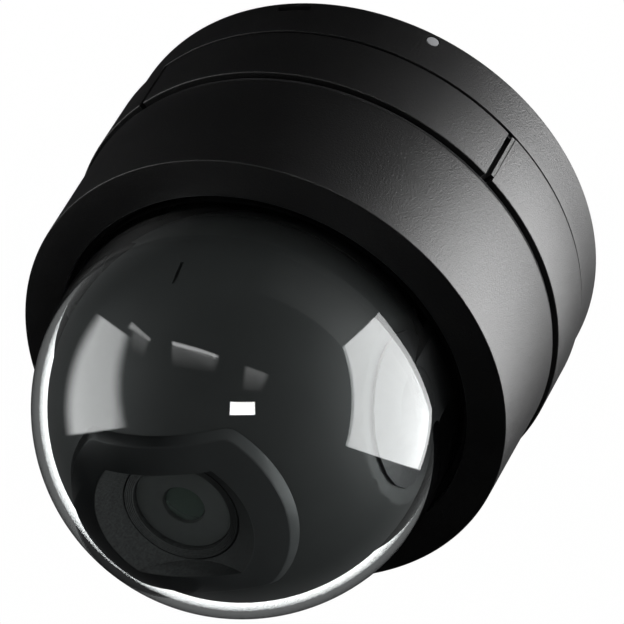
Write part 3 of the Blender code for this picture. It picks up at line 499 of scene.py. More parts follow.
def hood_plastic():
    """Satin black with painted light and shade: the outer face and the flank are painted paler
    towards -X and the funnel's inside paler towards +X, over a coarser spark texture inside the
    funnel.
    """
    made = Finish("black_hood_plastic")
    below_face = made.spread(made.away_from((0, 0, BALL_CENTRE)), 1.0, 0.0,
                             HOOD_RADIUS - 0.22 * MM, HOOD_RADIUS - 0.08 * MM)
    axes = made.axes(made.coords)
    squares = [made.math("MULTIPLY", axes[name], axes[name]) for name in "XY"]
    reach = made.math("SQRT", made.math("ADD", *squares))
    flank = made.math("GREATER_THAN", reach, HOOD_FLAT - 0.3 * MM)
    inside = made.math("MULTIPLY", below_face, made.math("SUBTRACT", 1.0, flank))
    flank = made.math("MULTIPLY", below_face, flank)
    # Painted light across X: 1 towards -X, 0 towards +X; it stands in for light and shade, not
    # for the plastic's colour.
    painted_light_across_x = made.spread(axes["X"], 1.0, 0.0, -8 * MM, 6 * MM)
    fine = made.noise(4200, 3.0, 0.6)
    spark = made.noise(2300, 4.0, 0.75)
    # Painted light on the outer face: paler towards -X.
    face = made.mix(painted_light_across_x, (0.005, 0.0055, 0.0055), (0.026, 0.027, 0.027))
    # Painted light on the flank: paler towards -X.
    painted_flank_light = made.spread(axes["X"], 1.0, 0.0, -15 * MM, -1 * MM)
    side = made.mix(painted_flank_light, (0.006, 0.0065, 0.0065), (0.050, 0.0515, 0.0515))
    # Painted shade in the funnel: its spark grain is darker towards -X and paler towards +X.
    light = made.mix(painted_light_across_x, (0.086, 0.088, 0.087), (0.021, 0.022, 0.0215))
    spark_grain_and_painted_light = made.mix(made.spread(spark, 0.4, 1.0), (0.0, 0.0, 0.0), light)
    made.colour(made.mix(inside, made.mix(flank, face, side), spark_grain_and_painted_light))
    made.shader.inputs["Specular IOR Level"].default_value = 0.25
    dull = made.math("MULTIPLY", inside, 0.35)
    made.rough(made.math("ADD", made.spread(fine, 0.30, 0.40), dull))
    texture = made.mix(inside, made.math("MULTIPLY", fine, 0.15), spark)
    made.normal(made.bump(texture, 0.11 * MM, 0.9))
    return made.material


def rubber():
    made = Finish("black_rubber")
    bloom = made.noise(220, 4.0)
    fine = made.noise(2600, 3.0)
    made.colour(made.mix(made.spread(bloom, 0.0, 1.0), (0.010, 0.010, 0.011),
                         (0.017, 0.017, 0.018)))
    made.rough(made.spread(fine, 0.7, 0.9))
    made.normal(made.bump(fine, 0.02 * MM, 0.6))
    return made.material


def steel(name="plain_steel", tint=(0.52, 0.52, 0.53)):
    """Rolled steel: fine streaks along one way and a slight stain."""
    made = Finish(name)
    streak = made.noise(900, 5.0, 0.7, stretch=(1.0, 14.0, 4.0))
    stain = made.noise(90, 3.0)
    dull = tuple(0.78 * value for value in tint)
    made.colour(made.mix(made.spread(stain, 0.0, 1.0), dull, tint))
    made.rough(made.spread(streak, 0.24, 0.42))
    made.normal(made.bump(streak, 0.01 * MM, 0.4))
    made.shader.inputs["Metallic"].default_value = 1.0
    return made.material


def cast_alloy():
    made = Finish("cast_alloy")
    flow = made.noise(160, 5.0, 0.65)
    pits = made.noise(1500, 4.0, 0.7)
    made.colour(made.mix(made.spread(flow, 0.0, 1.0), (0.30, 0.31, 0.32), (0.46, 0.47, 0.48)))
    made.rough(made.spread(pits, 0.4, 0.62))
    made.normal(made.bump(pits, 0.04 * MM, 0.7))
    made.shader.inputs["Metallic"].default_value = 0.9
    return made.material


def circuit_board():
    """Green solder mask over faint traces, with tinned pads."""
    made = Finish("circuit_board")
    tracks = made.node("ShaderNodeTexBrick", Scale=420.0)
    tracks.offset = 0.37
    tracks.inputs["Mortar Size"].default_value = 0.03
    tracks.inputs["Color1"].default_value = (0.0, 0.0, 0.0, 1.0)
    tracks.inputs["Color2"].default_value = (0.25, 0.25, 0.25, 1.0)
    tracks.inputs["Mortar"].default_value = (1.0, 1.0, 1.0, 1.0)
    made.link(made.coords, tracks.inputs["Vector"])
    mask = made.mix(tracks.outputs["Color"], (0.004, 0.055, 0.022), (0.012, 0.11, 0.05))
    pads = made.spread(made.cells(520), 1.0, 0.0, 0.10, 0.14)
    made.colour(made.mix(pads, mask, (0.62, 0.60, 0.55)))
    made.link(pads, made.shader.inputs["Metallic"])
    made.rough(made.spread(made.noise(800), 0.28, 0.42))
    made.normal(made.bump(tracks.outputs["Color"], 0.02 * MM, 0.6))
    return made.material


def dot_coating():
    """Pale satin end of the set screw."""
    made = Finish("pale_dot")
    fine = made.noise(3000, 3.0)
    made.colour(made.mix(fine, (0.27, 0.275, 0.285), (0.31, 0.315, 0.325)))
    made.rough(made.spread(fine, 0.55, 0.7))
    made.normal(made.bump(fine, 0.01 * MM, 0.4))
    made.shader.inputs["Specular IOR Level"].default_value = 0.2
    return made.material


def chip_package():
    made = Finish("chip_package")
    grain = made.noise(3200, 3.0)
    made.colour(made.mix(made.spread(grain, 0.0, 1.0), (0.018, 0.018, 0.020),
                         (0.032, 0.032, 0.035)))
    made.rough(made.spread(grain, 0.5, 0.68))
    made.normal(made.bump(grain, 0.01 * MM, 0.6))
    return made.material


def cable_film():
    """Amber film over copper tracks."""
    made = Finish("cable_film")
    wave = made.node("ShaderNodeTexWave", Scale=1500.0, Distortion=0.0)
    wave.bands_direction = "X"
    made.link(made.coords, wave.inputs["Vector"])
    made.colour(made.mix(wave.outputs["Fac"], (0.42, 0.17, 0.03), (0.72, 0.38, 0.12)))
    made.rough(made.spread(made.noise(500), 0.25, 0.38))
    made.normal(made.bump(wave.outputs["Fac"], 0.02 * MM, 0.5))
    return made.material


def element_glass():
    """Front lens element: dark glass under a coating that shifts from green to violet."""
    made = Finish("coated_element")
    facing = made.node("ShaderNodeLayerWeight", Blend=0.35).outputs["Facing"]
    drift = made.math("ADD", facing, made.spread(made.noise(160, 2.0), -0.05, 0.05))
    made.colour(made.mix(drift, (0.066, 0.080, 0.070), (0.076, 0.074, 0.082)))
    made.rough(made.spread(made.noise(2000, 2.0), 0.03, 0.06))
    made.shader.inputs["Specular IOR Level"].default_value = 0.9
    made.shader.inputs["Coat Weight"].default_value = 1.0
    made.shader.inputs["Coat Roughness"].default_value = 0.02
    made.shader.inputs["Coat Tint"].default_value = (0.88, 1.0, 0.93, 1.0)
    return made.material


def lens_plate():
    """Satin grey face of the lens barrel, with faint turning marks."""
    made = Finish("lens_plate")
    away = made.away_from((0, 0, BALL_CENTRE + TURNING_MARKS_CENTRE))
    marks = made.math("SINE", made.math("MULTIPLY", away, 30000.0))
    grain = made.noise(1500, 3.0)
    made.colour(made.mix(grain, (0.074, 0.078, 0.076), (0.084, 0.088, 0.086)))
    made.rough(made.spread(grain, 0.40, 0.50))
    made.normal(made.bump(marks, 0.002 * MM, 0.5))
    made.shader.inputs["Specular IOR Level"].default_value = 0.3
    return made.material


def clear_window():
    """Flat lens window: almost clear, with a faint smoky film."""
    made = Finish("lens_window_glass")
    grain = made.noise(900, 3.0)
    made.colour(made.mix(grain, (0.021, 0.023, 0.022), (0.026, 0.028, 0.027)))
    made.rough(made.spread(grain, 0.30, 0.36))
    made.link(made.spread(grain, 0.10, 0.14), made.shader.inputs["Alpha"])
    made.shader.inputs["Specular IOR Level"].default_value = 0.25
    return made.material


def clear_dome():
    """Polycarbonate seen by refraction; light and reflections pass straight through it.
    The hidden lower skirt is printed black."""
    made = Finish("clear_polycarbonate")
    glass = made.node("ShaderNodeBsdfGlass", IOR=1.58)
    haze = made.spread(made.noise(90, 3.0), 0.0, 0.004)
    made.link(haze, glass.inputs["Roughness"])
    tint = made.mix(made.spread(made.noise(40, 2.0), 0.0, 1.0), (0.975, 0.985, 0.985),
                    (0.98, 0.99, 0.99))
    made.link(tint, glass.inputs["Color"])
    clear = made.node("ShaderNodeBsdfTransparent")
    clear.inputs["Color"].default_value = (0.95, 0.97, 0.97, 1.0)
    path = made.node("ShaderNodeLightPath")
    straight = made.math("MAXIMUM", path.outputs["Is Shadow Ray"], path.outputs["Is Diffuse Ray"])
    bounced = made.math("GREATER_THAN", path.outputs["Glossy Depth"], 0.5)
    inside = made.math("GREATER_THAN", path.outputs["Transmission Depth"], 1.5)
    straight = made.math("MAXIMUM", straight, made.math("MULTIPLY", bounced, inside))
    blend = made.node("ShaderNodeMixShader")
    made.link(straight, blend.inputs["Fac"])
    made.link(glass.outputs["BSDF"], blend.inputs[1])
    made.link(clear.outputs["BSDF"], blend.inputs[2])
    height = made.axes(made.coords)["Z"]
    skirt = made.spread(height, 1.0, 0.0, COVER_LIP - 1.5 * MM, COVER_LIP - 1.3 * MM)
    printed = made.node("ShaderNodeMixShader")
    made.link(skirt, printed.inputs["Fac"])
    made.link(blend.outputs["Shader"], printed.inputs[1])
    made.link(made.shader.outputs["BSDF"], printed.inputs[2])
    made.colour(made.mix(haze, (0.003, 0.003, 0.003), (0.005, 0.005, 0.005)))
    made.shader.inputs["Roughness"].default_value = 0.6
    made.shader.inputs["Specular IOR Level"].default_value = 0.1
    made.link(printed.outputs["Shader"], made.output.inputs["Surface"])
    return made.material


PAINT = powder_coat()
BALL = ball_plastic()
ARM = arm_plastic()
HOOD = hood_plastic()
RUBBER = rubber()
STEEL = steel()
DOT = dot_coating()
ALLOY = cast_alloy()
BOARD = circuit_board()
CHIP = chip_package()
FILM = cable_film()
ELEMENT = element_glass()
PLATE = lens_plate()
WINDOW = clear_window()
DOME = clear_dome()

FINISH_OF_SLOT = {
    "black_paint": PAINT,
    "black_plastic": ARM,
    "black_rubber": RUBBER,
    "clear_dome": DOME,
    "lens_glass": ELEMENT,
    "steel": STEEL,
    "alloy": ALLOY,
    "circuit_board": BOARD,
    "chip": CHIP,
    "cable_film": FILM,
}


# Metal pieces next to the dome, blackened so that they do not shine into it.
BLACKENED = ("chassis", "dome_clamp_ring", "clamp_screw_1", "clamp_screw_2", "clamp_screw_3",
             "pan_retainer", "pan_screw_1", "pan_screw_2")


def dress_cad_nodes():
    """Every CAD node that stays shown gets a procedural finish."""
    for name, node in NODES.items():
        finish = ARM if name in BLACKENED else FINISH_OF_SLOT[SLOTS[name]]
        if node.material_slots:
            node.material_slots[0].material = finish
        else:
            node.data.materials.append(finish)


# Housing.

def rear_housing():
    groove_floor = REAR_RADIUS - GROOVE_DEPTH
    outline = [
        (POCKET_RADIUS, 0, 0.25 * MM),
        (REAR_RADIUS, 0, 0.9 * MM),
        (REAR_RADIUS, LIP_START),
        (LIP_RADIUS, LIP_TOP, 0.12 * MM),
        (groove_floor, LIP_TOP),
        (groove_floor, BAND_BOTTOM + GROOVE),
        (BAND_RADIUS, BAND_BOTTOM + GROOVE, 0.12 * MM),
        (BAND_TOP_RADIUS, BAND_TOP, 0.25 * MM),
        (HOUSING_INNER, BAND_TOP, 0.2 * MM),
        (HOUSING_INNER, FLOOR_TOP, 0.6 * MM),
        (FLOOR_HOLE, FLOOR_TOP, 0.15 * MM),
        (FLOOR_HOLE, FLOOR_BOTTOM, 0.15 * MM),
        (POCKET_RADIUS, FLOOR_BOTTOM, 0.4 * MM),
    ]
    housing = turned("rear_housing_shell", outline)
    above = BAND_TOP + 2 * MM
    recess = ring(PANEL_INNER - GAP, BEYOND, BAND_BOTTOM + GROOVE, above)
    notch = ring(PANEL_INNER - GAP, BEYOND, BAND_TOP - SLOT_NOTCH_DEPTH, above)
    step = ring(BAND_RADIUS - SLOT_STEP_DEPTH, BEYOND, BAND_BOTTOM + GROOVE, above)
    slots_start = PANEL_START - PANEL_SLOT
    slots_sweep = PANEL_END - PANEL_START + 2 * PANEL_SLOT
    edge_start = slots_start - SLOT_NOTCH_SWEEP
    edge_sweep = 1.5 * SLOT_NOTCH_SWEEP
    cuts = [(recess, PANEL_STEPS, slots_start, slots_sweep)]
    cuts += [(edge, 2, edge_start, edge_sweep) for edge in (notch, step)]
    for section, segments, start, sweep in cuts:
        cutter = turned("slot", section, segments=segments, start=start, sweep=sweep)
        carve(housing, cutter, "DIFFERENCE")
    bm = bmesh.new()
    add_rod(bm, LOCK_HOLE, 43 * MM, BEYOND, outward(LOCK_AZIMUTH, LOCK_HEIGHT))
    add_box(bm, (-PRY_NOTCH_HALF_WIDTH, -BEYOND, PRY_NOTCH_BOTTOM),
            (PRY_NOTCH_HALF_WIDTH, -44 * MM, PRY_NOTCH_TOP))
    carve(housing, solid("drills", bm), "DIFFERENCE")
    dress(housing, "housing", PAINT, "rear_housing", edge=0.12 * MM)


def side_panel():
    bottom = BAND_BOTTOM + GROOVE + GAP
    outline = [
        (PANEL_INNER, bottom, 0.1 * MM),
        (BAND_RADIUS, bottom, 0.12 * MM),
        (BAND_TOP_RADIUS, BAND_TOP, 0.25 * MM),
        (PANEL_INNER, BAND_TOP, 0.1 * MM),
    ]
    sweep = PANEL_END - PANEL_START
    panel = turned("side_panel_shell", outline, segments=PANEL_STEPS, start=PANEL_START,
                   sweep=sweep)
    dress(panel, "housing", PAINT, "side_panel", edge=0.12 * MM)


def seam_gasket():
    outline = ring(43.3 * MM, 46.15 * MM, BAND_TOP + GAP, COVER_BOTTOM - GAP, 0.12 * MM)
    dress(turned("seam_gasket_ring", outline), "housing", RUBBER, "seam_gasket")


def lock_screw():
    outline = [
        (0, LOCK_BOTTOM),
        (LOCK_RADIUS, LOCK_BOTTOM, 0.1 * MM),
        (LOCK_RADIUS, REAR_RADIUS - 0.05 * MM, 0.1 * MM),
        (0, REAR_RADIUS - 0.02 * MM),
    ]
    place = outward(LOCK_AZIMUTH, LOCK_HEIGHT)
    screw = turned("lock_screw_end", outline, segments=SMALL_ROUND, place=place)
    dress(screw, "housing", DOT, "lock_screw")


def front_cover():
    outline = [
        (COVER_INNER, COVER_BOTTOM, 0.2 * MM),
        (COVER_BOTTOM_RADIUS, COVER_BOTTOM, 0.25 * MM),
        (COVER_RADIUS, COVER_TOP, 0.2 * MM),
        (COVER_HOLE, COVER_LIP, 0.25 * MM),
        (COVER_HOLE, COVER_LIP - 1.6 * MM, 0.1 * MM),
        (COVER_HOLE + 0.4 * MM, COVER_CEILING, 0.1 * MM),
        (COVER_INNER, COVER_CEILING, 0.6 * MM),
    ]
    dress(turned("front_cover_shell", outline), "cover", PAINT, "front_cover")


def dome_window():
    inner = DOME_RADIUS - DOME_WALL
    outline = [
        (inner, FLANGE_BOTTOM, 0.2 * MM),
        (FLANGE_RADIUS, FLANGE_BOTTOM, 0.2 * MM),
        (FLANGE_RADIUS, FLANGE_TOP, 0.2 * MM),
        (DOME_RADIUS, FLANGE_TOP, 0.3 * MM),
    ]
    outline += arc(DOME_RADIUS, 90, 0, 1.5, BALL_CENTRE)
    outline += arc(inner, 0, 90, 1.5, BALL_CENTRE)
    dress(turned("dome_window_clear", outline), "cover", DOME, "dome_window")


# Ball and lens.

def flats(name, depth_low, depth_high):
    bm = bmesh.new()
    for side in (-1, 1):
        near, far = sorted((side * BALL_FLAT, side * 40 * MM))
        add_box(bm, (near, -20 * MM, depth_low), (far, 20 * MM, depth_high), place=IN_BALL)
    return solid(name, bm)


def ball_front():
    inner = BALL_RADIUS - BALL_WALL
    lip_outer = inner - 0.3 * MM
    lip_inner = lip_outer - 1.0 * MM
    lip_end = BALL_SPLIT - 2.6 * MM
    lip_start = BALL_SPLIT + 1.5 * MM
    first = reach_angle(BALL_LENS_HOLE, BALL_RADIUS)
    outline = arc(BALL_RADIUS, first, height_angle(BALL_SPLIT, BALL_RADIUS))
    outline[-1] = (*outline[-1], 0.15 * MM)
    for radius, height in ((lip_outer, BALL_SPLIT), (lip_outer, lip_end), (lip_inner, lip_end),
                           (lip_inner, lip_start)):
        outline.append((math.sqrt(radius**2 - height**2), height))
    outline += arc(inner, height_angle(lip_start, inner), reach_angle(BALL_LENS_HOLE, inner))
    shell = turned("ball_front_skin", outline, place=IN_BALL)
    bm = bmesh.new()
    for side in (-1, 1):
        place = IN_BALL @ sideways(side)
        add_rod(bm, 11.8 * MM, BALL_FLAT - 2.2 * MM, BALL_FLAT + 0.4 * MM, place, 64)
    carve(shell, solid("pads", bm), "UNION")
    carve(shell, flats("flats", -22 * MM, 22 * MM), "DIFFERENCE")
    bm = bmesh.new()
    for side in (-1, 1):
        add_rod(bm, 4.7 * MM, 20 * MM, 40 * MM, IN_BALL @ sideways(side))
    add_box(bm, (-0.3 * MM, -36 * MM, 4.9 * MM), (0.3 * MM, -33 * MM, 9.8 * MM), place=IN_BALL)
    carve(shell, solid("drills", bm), "DIFFERENCE")
    dress(shell, "ball", BALL, "ball_front_shell")


def ball_rear():
    inner = BALL_RADIUS - BALL_WALL
    split = BALL_SPLIT - SPLIT_GAP
    outline = arc(BALL_RADIUS, height_angle(split, BALL_RADIUS),
                  180 - reach_angle(BALL_CABLE_HOLE, BALL_RADIUS))
    outline += arc(inner, 180 - reach_angle(BALL_CABLE_HOLE, inner), height_angle(split, inner))
    shell = turned("ball_rear_skin", outline, place=IN_BALL)
    carve(shell, flats("flats", -22 * MM, 0), "DIFFERENCE")
    dress(shell, "ball", BALL, "ball_rear_shell")


def hood_reach(turn, circle, flat):
    """The hood's reach at an angle from the front: a circle with two round-cornered flats."""
    turn = min(abs(turn), math.pi - abs(turn))
    across = math.sqrt((circle - HOOD_CORNER) ** 2 - (flat - HOOD_CORNER) ** 2)
    if flat * math.sin(turn) <= across * math.cos(turn):
        return flat / math.cos(turn)
    if turn < math.atan2(across, flat - HOOD_CORNER):
        along = across * math.sin(turn) + (flat - HOOD_CORNER) * math.cos(turn)
        return along + math.sqrt(along**2 - (circle - HOOD_CORNER) ** 2 + HOOD_CORNER**2)
    return circle


def hood_section(azimuth):
    """Closed half section of the hood at one azimuth, before its funnel is cut."""
    turn = math.radians(azimuth)
    rim = hood_reach(turn, HOOD_RIM, HOOD_FLAT)
    foot = hood_reach(turn, HOOD_FOOT, HOOD_FLAT + HOOD_FLANK)
    outline = [(0, NECK_BOTTOM), (NECK_OUTER, NECK_BOTTOM, 0.1 * MM)]
    steps = 14
    for radius, first, last in ((HOOD_UNDERSIDE, NECK_OUTER, foot), (HOOD_RADIUS, rim, 0)):
        points = [first + (last - first) * i / steps for i in range(steps + 1)]
        outline += [(reach, math.sqrt(radius**2 - reach**2)) for reach in points]
    outline[2 + steps] = (*outline[2 + steps], 0.15 * MM)
    outline[3 + steps] = (*outline[3 + steps], 0.5 * MM)
    return soften(outline)


def hood_blank():
    """The hood's outer shape, with a section that changes round the lens axis."""
    bm = bmesh.new()
    loops = []
    for k in range(HOOD_ROUND):
        azimuth = (360.0 * k / HOOD_ROUND + 180) % 360 - 180
        section = hood_section(azimuth)
        loops.append([bm.verts.new(polar(reach, azimuth, height)) for reach, height in section])
    for loop, after in zip(loops, loops[1:] + loops[:1]):
        for i in range(len(loop) - 1):
            bm.faces.new((loop[i], loop[i + 1], after[i + 1], after[i]))
    bmesh.ops.remove_doubles(bm, verts=bm.verts, dist=TOUCH)
    bmesh.ops.transform(bm, matrix=IN_BALL, verts=bm.verts)
    return solid("lens_hood_shell", bm)


def lens_hood():
    """Light shield over the lens, with a funnel that has two flat sides."""
    hood = hood_blank()
    carve(hood, funnel_cutter(), "DIFFERENCE")
    over = FUNNEL_FLOOR + 0.2 * MM
    bore = [(0, 27 * MM), (8.0 * MM, 27 * MM), (8.0 * MM, BEZEL_SEAT)]
    bore += [(FUNNEL_FLAT - 0.02 * MM, BEZEL_SEAT), (FUNNEL_FLAT - 0.02 * MM, over), (0, over)]
    carve(hood, turned("bore", bore, place=IN_BALL), "DIFFERENCE")
    dress(hood, "lens_head", HOOD, "lens_hood")


def funnel_cutter():
    grow = 6.0 * MM
    rise = grow * (math.sqrt(HOOD_RADIUS**2 - FUNNEL_RADIUS**2) - FUNNEL_FLOOR)
    rise /= FUNNEL_RADIUS - FUNNEL_FLAT
    above = 39 * MM
    funnel = [(0, FUNNEL_FLOOR), (FUNNEL_FLAT, FUNNEL_FLOOR)]
    funnel += [(FUNNEL_FLAT + grow, FUNNEL_FLOOR + rise), (FUNNEL_FLAT + grow, above), (0, above)]
    cutter = turned("funnel", funnel, place=IN_BALL)
    bm = bmesh.new()
    add_box(bm, (-30 * MM, -FUNNEL_FLAT, 28 * MM), (30 * MM, FUNNEL_FLAT, 40 * MM), place=IN_BALL)
    carve(cutter, solid("slab", bm), "INTERSECT")
    return cutter


def turned_lens_piece(name, outline, finish, node):
    made = turned(name, outline, segments=LENS_ROUND, place=IN_BALL)
    dress(made, "lens_head", finish, node)


def lens_window():
    rim = 8.6 * MM
    outline = [(0, WINDOW_BOTTOM), (rim, WINDOW_BOTTOM, 0.1 * MM), (rim, WINDOW_TOP, 0.15 * MM),
               (0, WINDOW_TOP)]
    turned_lens_piece("lens_window_glass", outline, WINDOW, "lens_window")


def lens_bezel():
    """Ring round the window, with steps that go down towards it."""
    outline = [(BEZEL_HOLE, BEZEL_FOOT), (BEZEL_RADIUS, BEZEL_FOOT),
               (BEZEL_RADIUS, FUNNEL_FLOOR, 0.1 * MM)]
    for i in range(BEZEL_GROOVES):
        crest = BEZEL_RADIUS - (0.2 + 0.3 * i) * MM
        level = FUNNEL_FLOOR - 0.07 * i * MM
        outline += [(crest, level), (crest - 0.1 * MM, level - 0.14 * MM),
                    (crest - 0.18 * MM, level - 0.14 * MM)]
    outline.append((BEZEL_HOLE, FUNNEL_FLOOR - 0.28 * MM, 0.05 * MM))
    turned_lens_piece("lens_bezel_ring", outline, HOOD, "lens_bezel")


def lens_barrel():
    """Barrel with a wide pale face under the window and a hole for the front element."""
    outline = [
        (0, BARREL_BOTTOM),
        (BARREL_TAIL_RADIUS, BARREL_BOTTOM, 0.2 * MM),
        (BARREL_TAIL_RADIUS, BARREL_SHOULDER),
        (BARREL_RADIUS, BARREL_SHOULDER),
        (BARREL_RADIUS, BEZEL_FOOT),
        (BARREL_FACE_RADIUS, BEZEL_FOOT),
        (BARREL_FACE_RADIUS, BARREL_FACE, 0.1 * MM),
        (ELEMENT_HOLE, BARREL_FACE, 0.12 * MM),
        (ELEMENT_HOLE, ELEMENT_HOLE_FLOOR),
        (0, ELEMENT_HOLE_FLOOR),
    ]
    turned_lens_piece("lens_barrel_body", outline, PLATE, "lens_barrel")


def front_element():
    reach = ELEMENT_HOLE - 0.25 * MM
    back = ELEMENT_HOLE_FLOOR + 0.3 * MM
    centre = BARREL_FACE + 0.1 * MM - ELEMENT_BULGE
    outline = [(0, back), (reach, back)]
    outline += arc(ELEMENT_BULGE, reach_angle(reach, ELEMENT_BULGE), 0, 3.0, centre)
    turned_lens_piece("front_element_glass", outline, ELEMENT, "front_element")


# Stage: plain pale floor, soft lights and the camera.

THROUGH_DOME = 3.6  # strength of the white that the camera sees through the dome
AMBIENT = 0.5  # light from all round on matte surfaces
BEHIND = 0.185  # grey that the dome's edge bends into view
DARK_CARD_TURN = 128  # where the darker wedge lies behind the object, from right towards down
DARK_CARD_SPREAD = 0.58
DARK_CARD_SHADE = 0.86
FOCAL_SHARE = 7.6635  # focal length in widths of the sensor
SENSOR_WIDTH = 36.0
CAMERA_TIP = 34.93708
CAMERA_LEAN = 24.65864
CAMERA_DISTANCE = 849.673 * MM
CAMERA_SHIFT_RIGHT = 12.412 * MM
CAMERA_SHIFT_DOWN = -17.057 * MM
CAMERA_TURN = (Matrix.Rotation(math.radians(CAMERA_TIP), 3, "X")
               @ Matrix.Rotation(math.radians(-CAMERA_LEAN), 3, "Y"))
CAMERA_RIGHT = CAMERA_TURN @ Vector((-1, 0, 0))
CAMERA_DOWN = CAMERA_TURN @ Vector((0, 1, 0))
CAMERA_FORWARD = CAMERA_TURN @ Vector((0, 0, -1))
DOME_CENTRE = Vector((0, 0, BALL_CENTRE))


def seen_directly(made):
    """1 for what the camera sees itself, more for what it sees through the dome, else 0."""
    path = made.node("ShaderNodeLightPath")
    bounced = made.math("MAXIMUM", path.outputs["Glossy Depth"], path.outputs["Diffuse Depth"])
    direct = made.math("LESS_THAN", bounced, 0.5)
    through = made.math("MULTIPLY", path.outputs["Is Transmission Ray"], direct)
    through = made.math("MULTIPLY", through, THROUGH_DOME)
    return made.math("MAXIMUM", path.outputs["Is Camera Ray"], through)


def floor():
    bm = bmesh.new()
    reach = 30.0
    bmesh.ops.create_grid(bm, x_segments=1, y_segments=1, size=reach)
    made = solid("floor", bm)
    made.location.z = -0.05 * MM
    pale = Finish("pale_floor")
    glow = pale.node("ShaderNodeEmission")
    tone = pale.mix(pale.spread(pale.noise(3.0), 0.0, 1.0), (0.995, 0.995, 0.995), (1, 1, 1))
    pale.link(tone, glow.inputs["Color"])
    seen = seen_directly(pale)
    pale.link(seen, glow.inputs["Strength"])
    clear = pale.node("ShaderNodeBsdfTransparent")
    blend = pale.node("ShaderNodeMixShader")
    pale.link(pale.math("MINIMUM", seen, 1.0), blend.inputs["Fac"])
    pale.link(clear.outputs["BSDF"], blend.inputs[1])
    pale.link(glow.outputs["Emission"], blend.inputs[2])
    pale.link(blend.outputs["Shader"], pale.output.inputs["Surface"])
    pale.nodes.remove(pale.shader)
    made.data.materials.append(pale.material)
    made.visible_shadow = False
    made.visible_diffuse = False
    made.visible_glossy = False


def world():
    """White where it is seen itself, almost black to reflections, and grey with one darker wedge
    behind the object for what the dome's edge bends into view."""
    made = bpy.data.worlds.new("studio")
    bpy.context.scene.world = made
    made.use_nodes = True
    shell = NodeTree(made.node_tree)
    background = shell.nodes["Background"]
    direction = shell.node("ShaderNodeTexCoord").outputs["Generated"]

    def along(axis):
        product = shell.node("ShaderNodeVectorMath", operation="DOT_PRODUCT")
        shell.link(direction, product.inputs[0])
        product.inputs[1].default_value = axis
        return product.outputs["Value"]

    behind = shell.spread(along(CAMERA_FORWARD), 0.0, 1.0, 0.4, 0.85)
    turn = math.radians(DARK_CARD_TURN)
    outwards = along(CAMERA_RIGHT * math.cos(turn) + CAMERA_DOWN * math.sin(turn))
    across = along(CAMERA_DOWN * math.cos(turn) - CAMERA_RIGHT * math.sin(turn))
    reach = shell.math("MULTIPLY", shell.math("MAXIMUM", outwards, 0.0), outwards)
    reach = shell.math("MULTIPLY", reach, DARK_CARD_SPREAD)
    card = shell.math("LESS_THAN", shell.math("ABSOLUTE", across), reach)
    open_part = shell.math("SUBTRACT", 1.0, shell.math("MULTIPLY", card, DARK_CARD_SHADE))
    path = shell.node("ShaderNodeLightPath")
    behind = shell.math("MULTIPLY", behind, open_part)
    behind = shell.math("MULTIPLY", behind, path.outputs["Is Transmission Ray"])
    dim = shell.mix(behind, (0.006, 0.006, 0.0065), (BEHIND, BEHIND, BEHIND))
    dim = shell.mix(path.outputs["Is Diffuse Ray"], dim, (AMBIENT, AMBIENT, AMBIENT))
    seen = seen_directly(shell)
    colour = shell.mix(shell.math("MINIMUM", seen, 1.0), dim, (1.0, 1.0, 1.0))
    shell.link(colour, background.inputs["Color"])
    shell.link(shell.math("MAXIMUM", seen, 1.0), background.inputs["Strength"])
    made.cycles.sampling_method = "NONE"


def light_panel(name, corners, top, bottom, distance, edges=(0.02, 0.02), skin_only=False):
    """A glowing panel round the dome. Corners are (right, down, forward) as the camera sees them,
    from the top left clockwise, in units of the distance; its glow runs from top to bottom."""
    axes = Matrix((CAMERA_RIGHT, CAMERA_DOWN, CAMERA_FORWARD)).transposed()
    bm = bmesh.new()
    face = bm.faces.new([bm.verts.new(DOME_CENTRE + axes @ Vector(corner) * distance)
                         for corner in corners])
    layer = bm.loops.layers.uv.new("panel")
    for loop, uv in zip(face.loops, ((0, 0), (1, 0), (1, 1), (0, 1))):
        loop[layer].uv = uv
    mesh = bpy.data.meshes.new(name)
    bm.to_mesh(mesh)
    bm.free()
    made = bpy.data.objects.new(name, mesh)
    bpy.context.scene.collection.objects.link(made)
    glow = Finish(name + "_glow")
    emission = glow.node("ShaderNodeEmission")
    place = glow.axes(glow.node("ShaderNodeUVMap", uv_map="panel").outputs["UV"])
    strength = glow.spread(place["Y"], top, bottom, 0.0, 1.0)
    for axis, edge in zip("XY", edges):
        middle = glow.math("ABSOLUTE", glow.math("SUBTRACT", place[axis], 0.5))
        fade = glow.spread(glow.math("SUBTRACT", 0.5, middle), 0.0, 1.0, 0.0, edge)
        strength = glow.math("MULTIPLY", strength, fade)
    if skin_only:
        path = glow.node("ShaderNodeLightPath")
        within = glow.math("GREATER_THAN", path.outputs["Transmission Depth"], 0.5)
        within = glow.math("MULTIPLY", within, path.outputs["Is Glossy Ray"])
        strength = glow.math("MULTIPLY", strength, glow.math("SUBTRACT", 1.0, within))
        glow.material.cycles.emission_sampling = "NONE"
        made.visible_diffuse = False
    glow.link(strength, emission.inputs["Strength"])
    glow.link(emission.outputs["Emission"], glow.output.inputs["Surface"])
    glow.nodes.remove(glow.shader)
    mesh.materials.append(glow.material)
    made.visible_camera = False


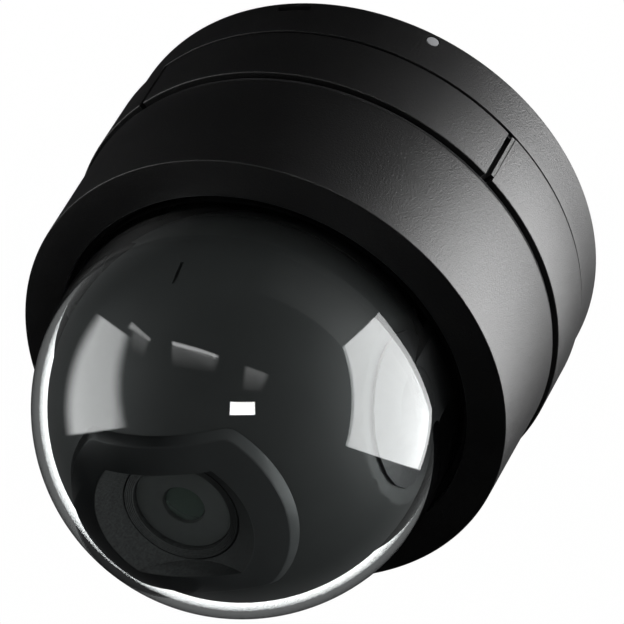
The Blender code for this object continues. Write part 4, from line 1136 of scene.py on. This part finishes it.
def lights():
    """Two softboxes light the object; the other panels only show in the dome's skin."""
    near, far = 0.55, 0.75
    light_panel("right_softbox", [(1, -0.62, -0.49), (1, -0.75, 0.70), (1, 0.37, 0.66),
                                  (1, 0.355, -0.575)], 4.9, 4.9, near, (0.01, 0.01))
    light_panel("left_softbox", [(-1, -0.65, 0.36), (-1, -0.65, -0.33), (-1, 0.165, -0.52),
                                 (-1, 0.17, 0.37)], 2.6, 3.2, near, (0.22, 0.02))
    light_panel("front_panel", [(-0.096, -0.075, -1), (0.132, -0.075, -1), (0.132, 0.044, -1),
                                (-0.096, 0.044, -1)], 22.0, 22.0, far, (0.001, 0.001), True)
    light_panel("tube_lamp", [(-0.97, -0.95, -1), (-0.21, -0.56, -1), (-0.225, -0.48, -1),
                              (-0.90, -0.82, -1)], 6.5, 5.0, far, (0.06, 0.3), True)
    light_panel("tube_lamp_body", [(-0.94, -0.87, -1), (-0.20, -0.51, -1), (-0.24, -0.34, -1),
                                   (-0.82, -0.50, -1)], 1.5, 0.0, far, (0.1, 0.05), True)
    light_panel("small_lamp", [(0.03, -0.44, -1), (0.29, -0.35, -1), (0.21, -0.16, -1),
                               (0.0, -0.17, -1)], 1.8, 0.1, far, (0.2, 0.1), True)
    light_panel("side_lamp", [(-1, -0.80, -0.22), (-1, -0.79, -0.66), (-1, -0.71, -0.67),
                              (-1, -0.70, -0.22)], 3.6, 3.0, near, (0.1, 0.3), True)
    light_panel("side_lamp_body", [(-1, -0.74, -0.30), (-1, -0.74, -0.66), (-1, -0.52, -0.68),
                                   (-1, -0.52, -0.40)], 1.2, 0.0, near, (0.2, 0.05), True)
    light_panel("ceiling", [(0.0, -1, -0.45), (2.6, -1, -1.06), (2.6, -1, 0.5),
                            (0.3, -1, 0.5)], 0.34, 0.1, far, (0.45, 0.01), True)


def camera():
    data = bpy.data.cameras.new("camera")
    made = bpy.data.objects.new("camera", data)
    bpy.context.scene.collection.objects.link(made)
    place = DOME_CENTRE - CAMERA_FORWARD * CAMERA_DISTANCE
    place += CAMERA_RIGHT * CAMERA_SHIFT_RIGHT + CAMERA_DOWN * CAMERA_SHIFT_DOWN
    columns = (CAMERA_RIGHT, -CAMERA_DOWN, -CAMERA_FORWARD)
    turn = Matrix(columns).transposed().to_4x4()
    made.matrix_world = Matrix.Translation(place) @ turn
    data.sensor_width = SENSOR_WIDTH
    data.lens = SENSOR_WIDTH * FOCAL_SHARE
    data.clip_start = 0.01
    data.clip_end = 100.0
    bpy.context.scene.camera = made


dress_cad_nodes()
rear_housing()
side_panel()
seam_gasket()
lock_screw()
front_cover()
dome_window()
ball_front()
ball_rear()
lens_hood()
lens_window()
lens_bezel()
lens_barrel()
front_element()
floor()
world()
lights()
camera()
bpy.context.scene.view_settings.view_transform = "Standard"
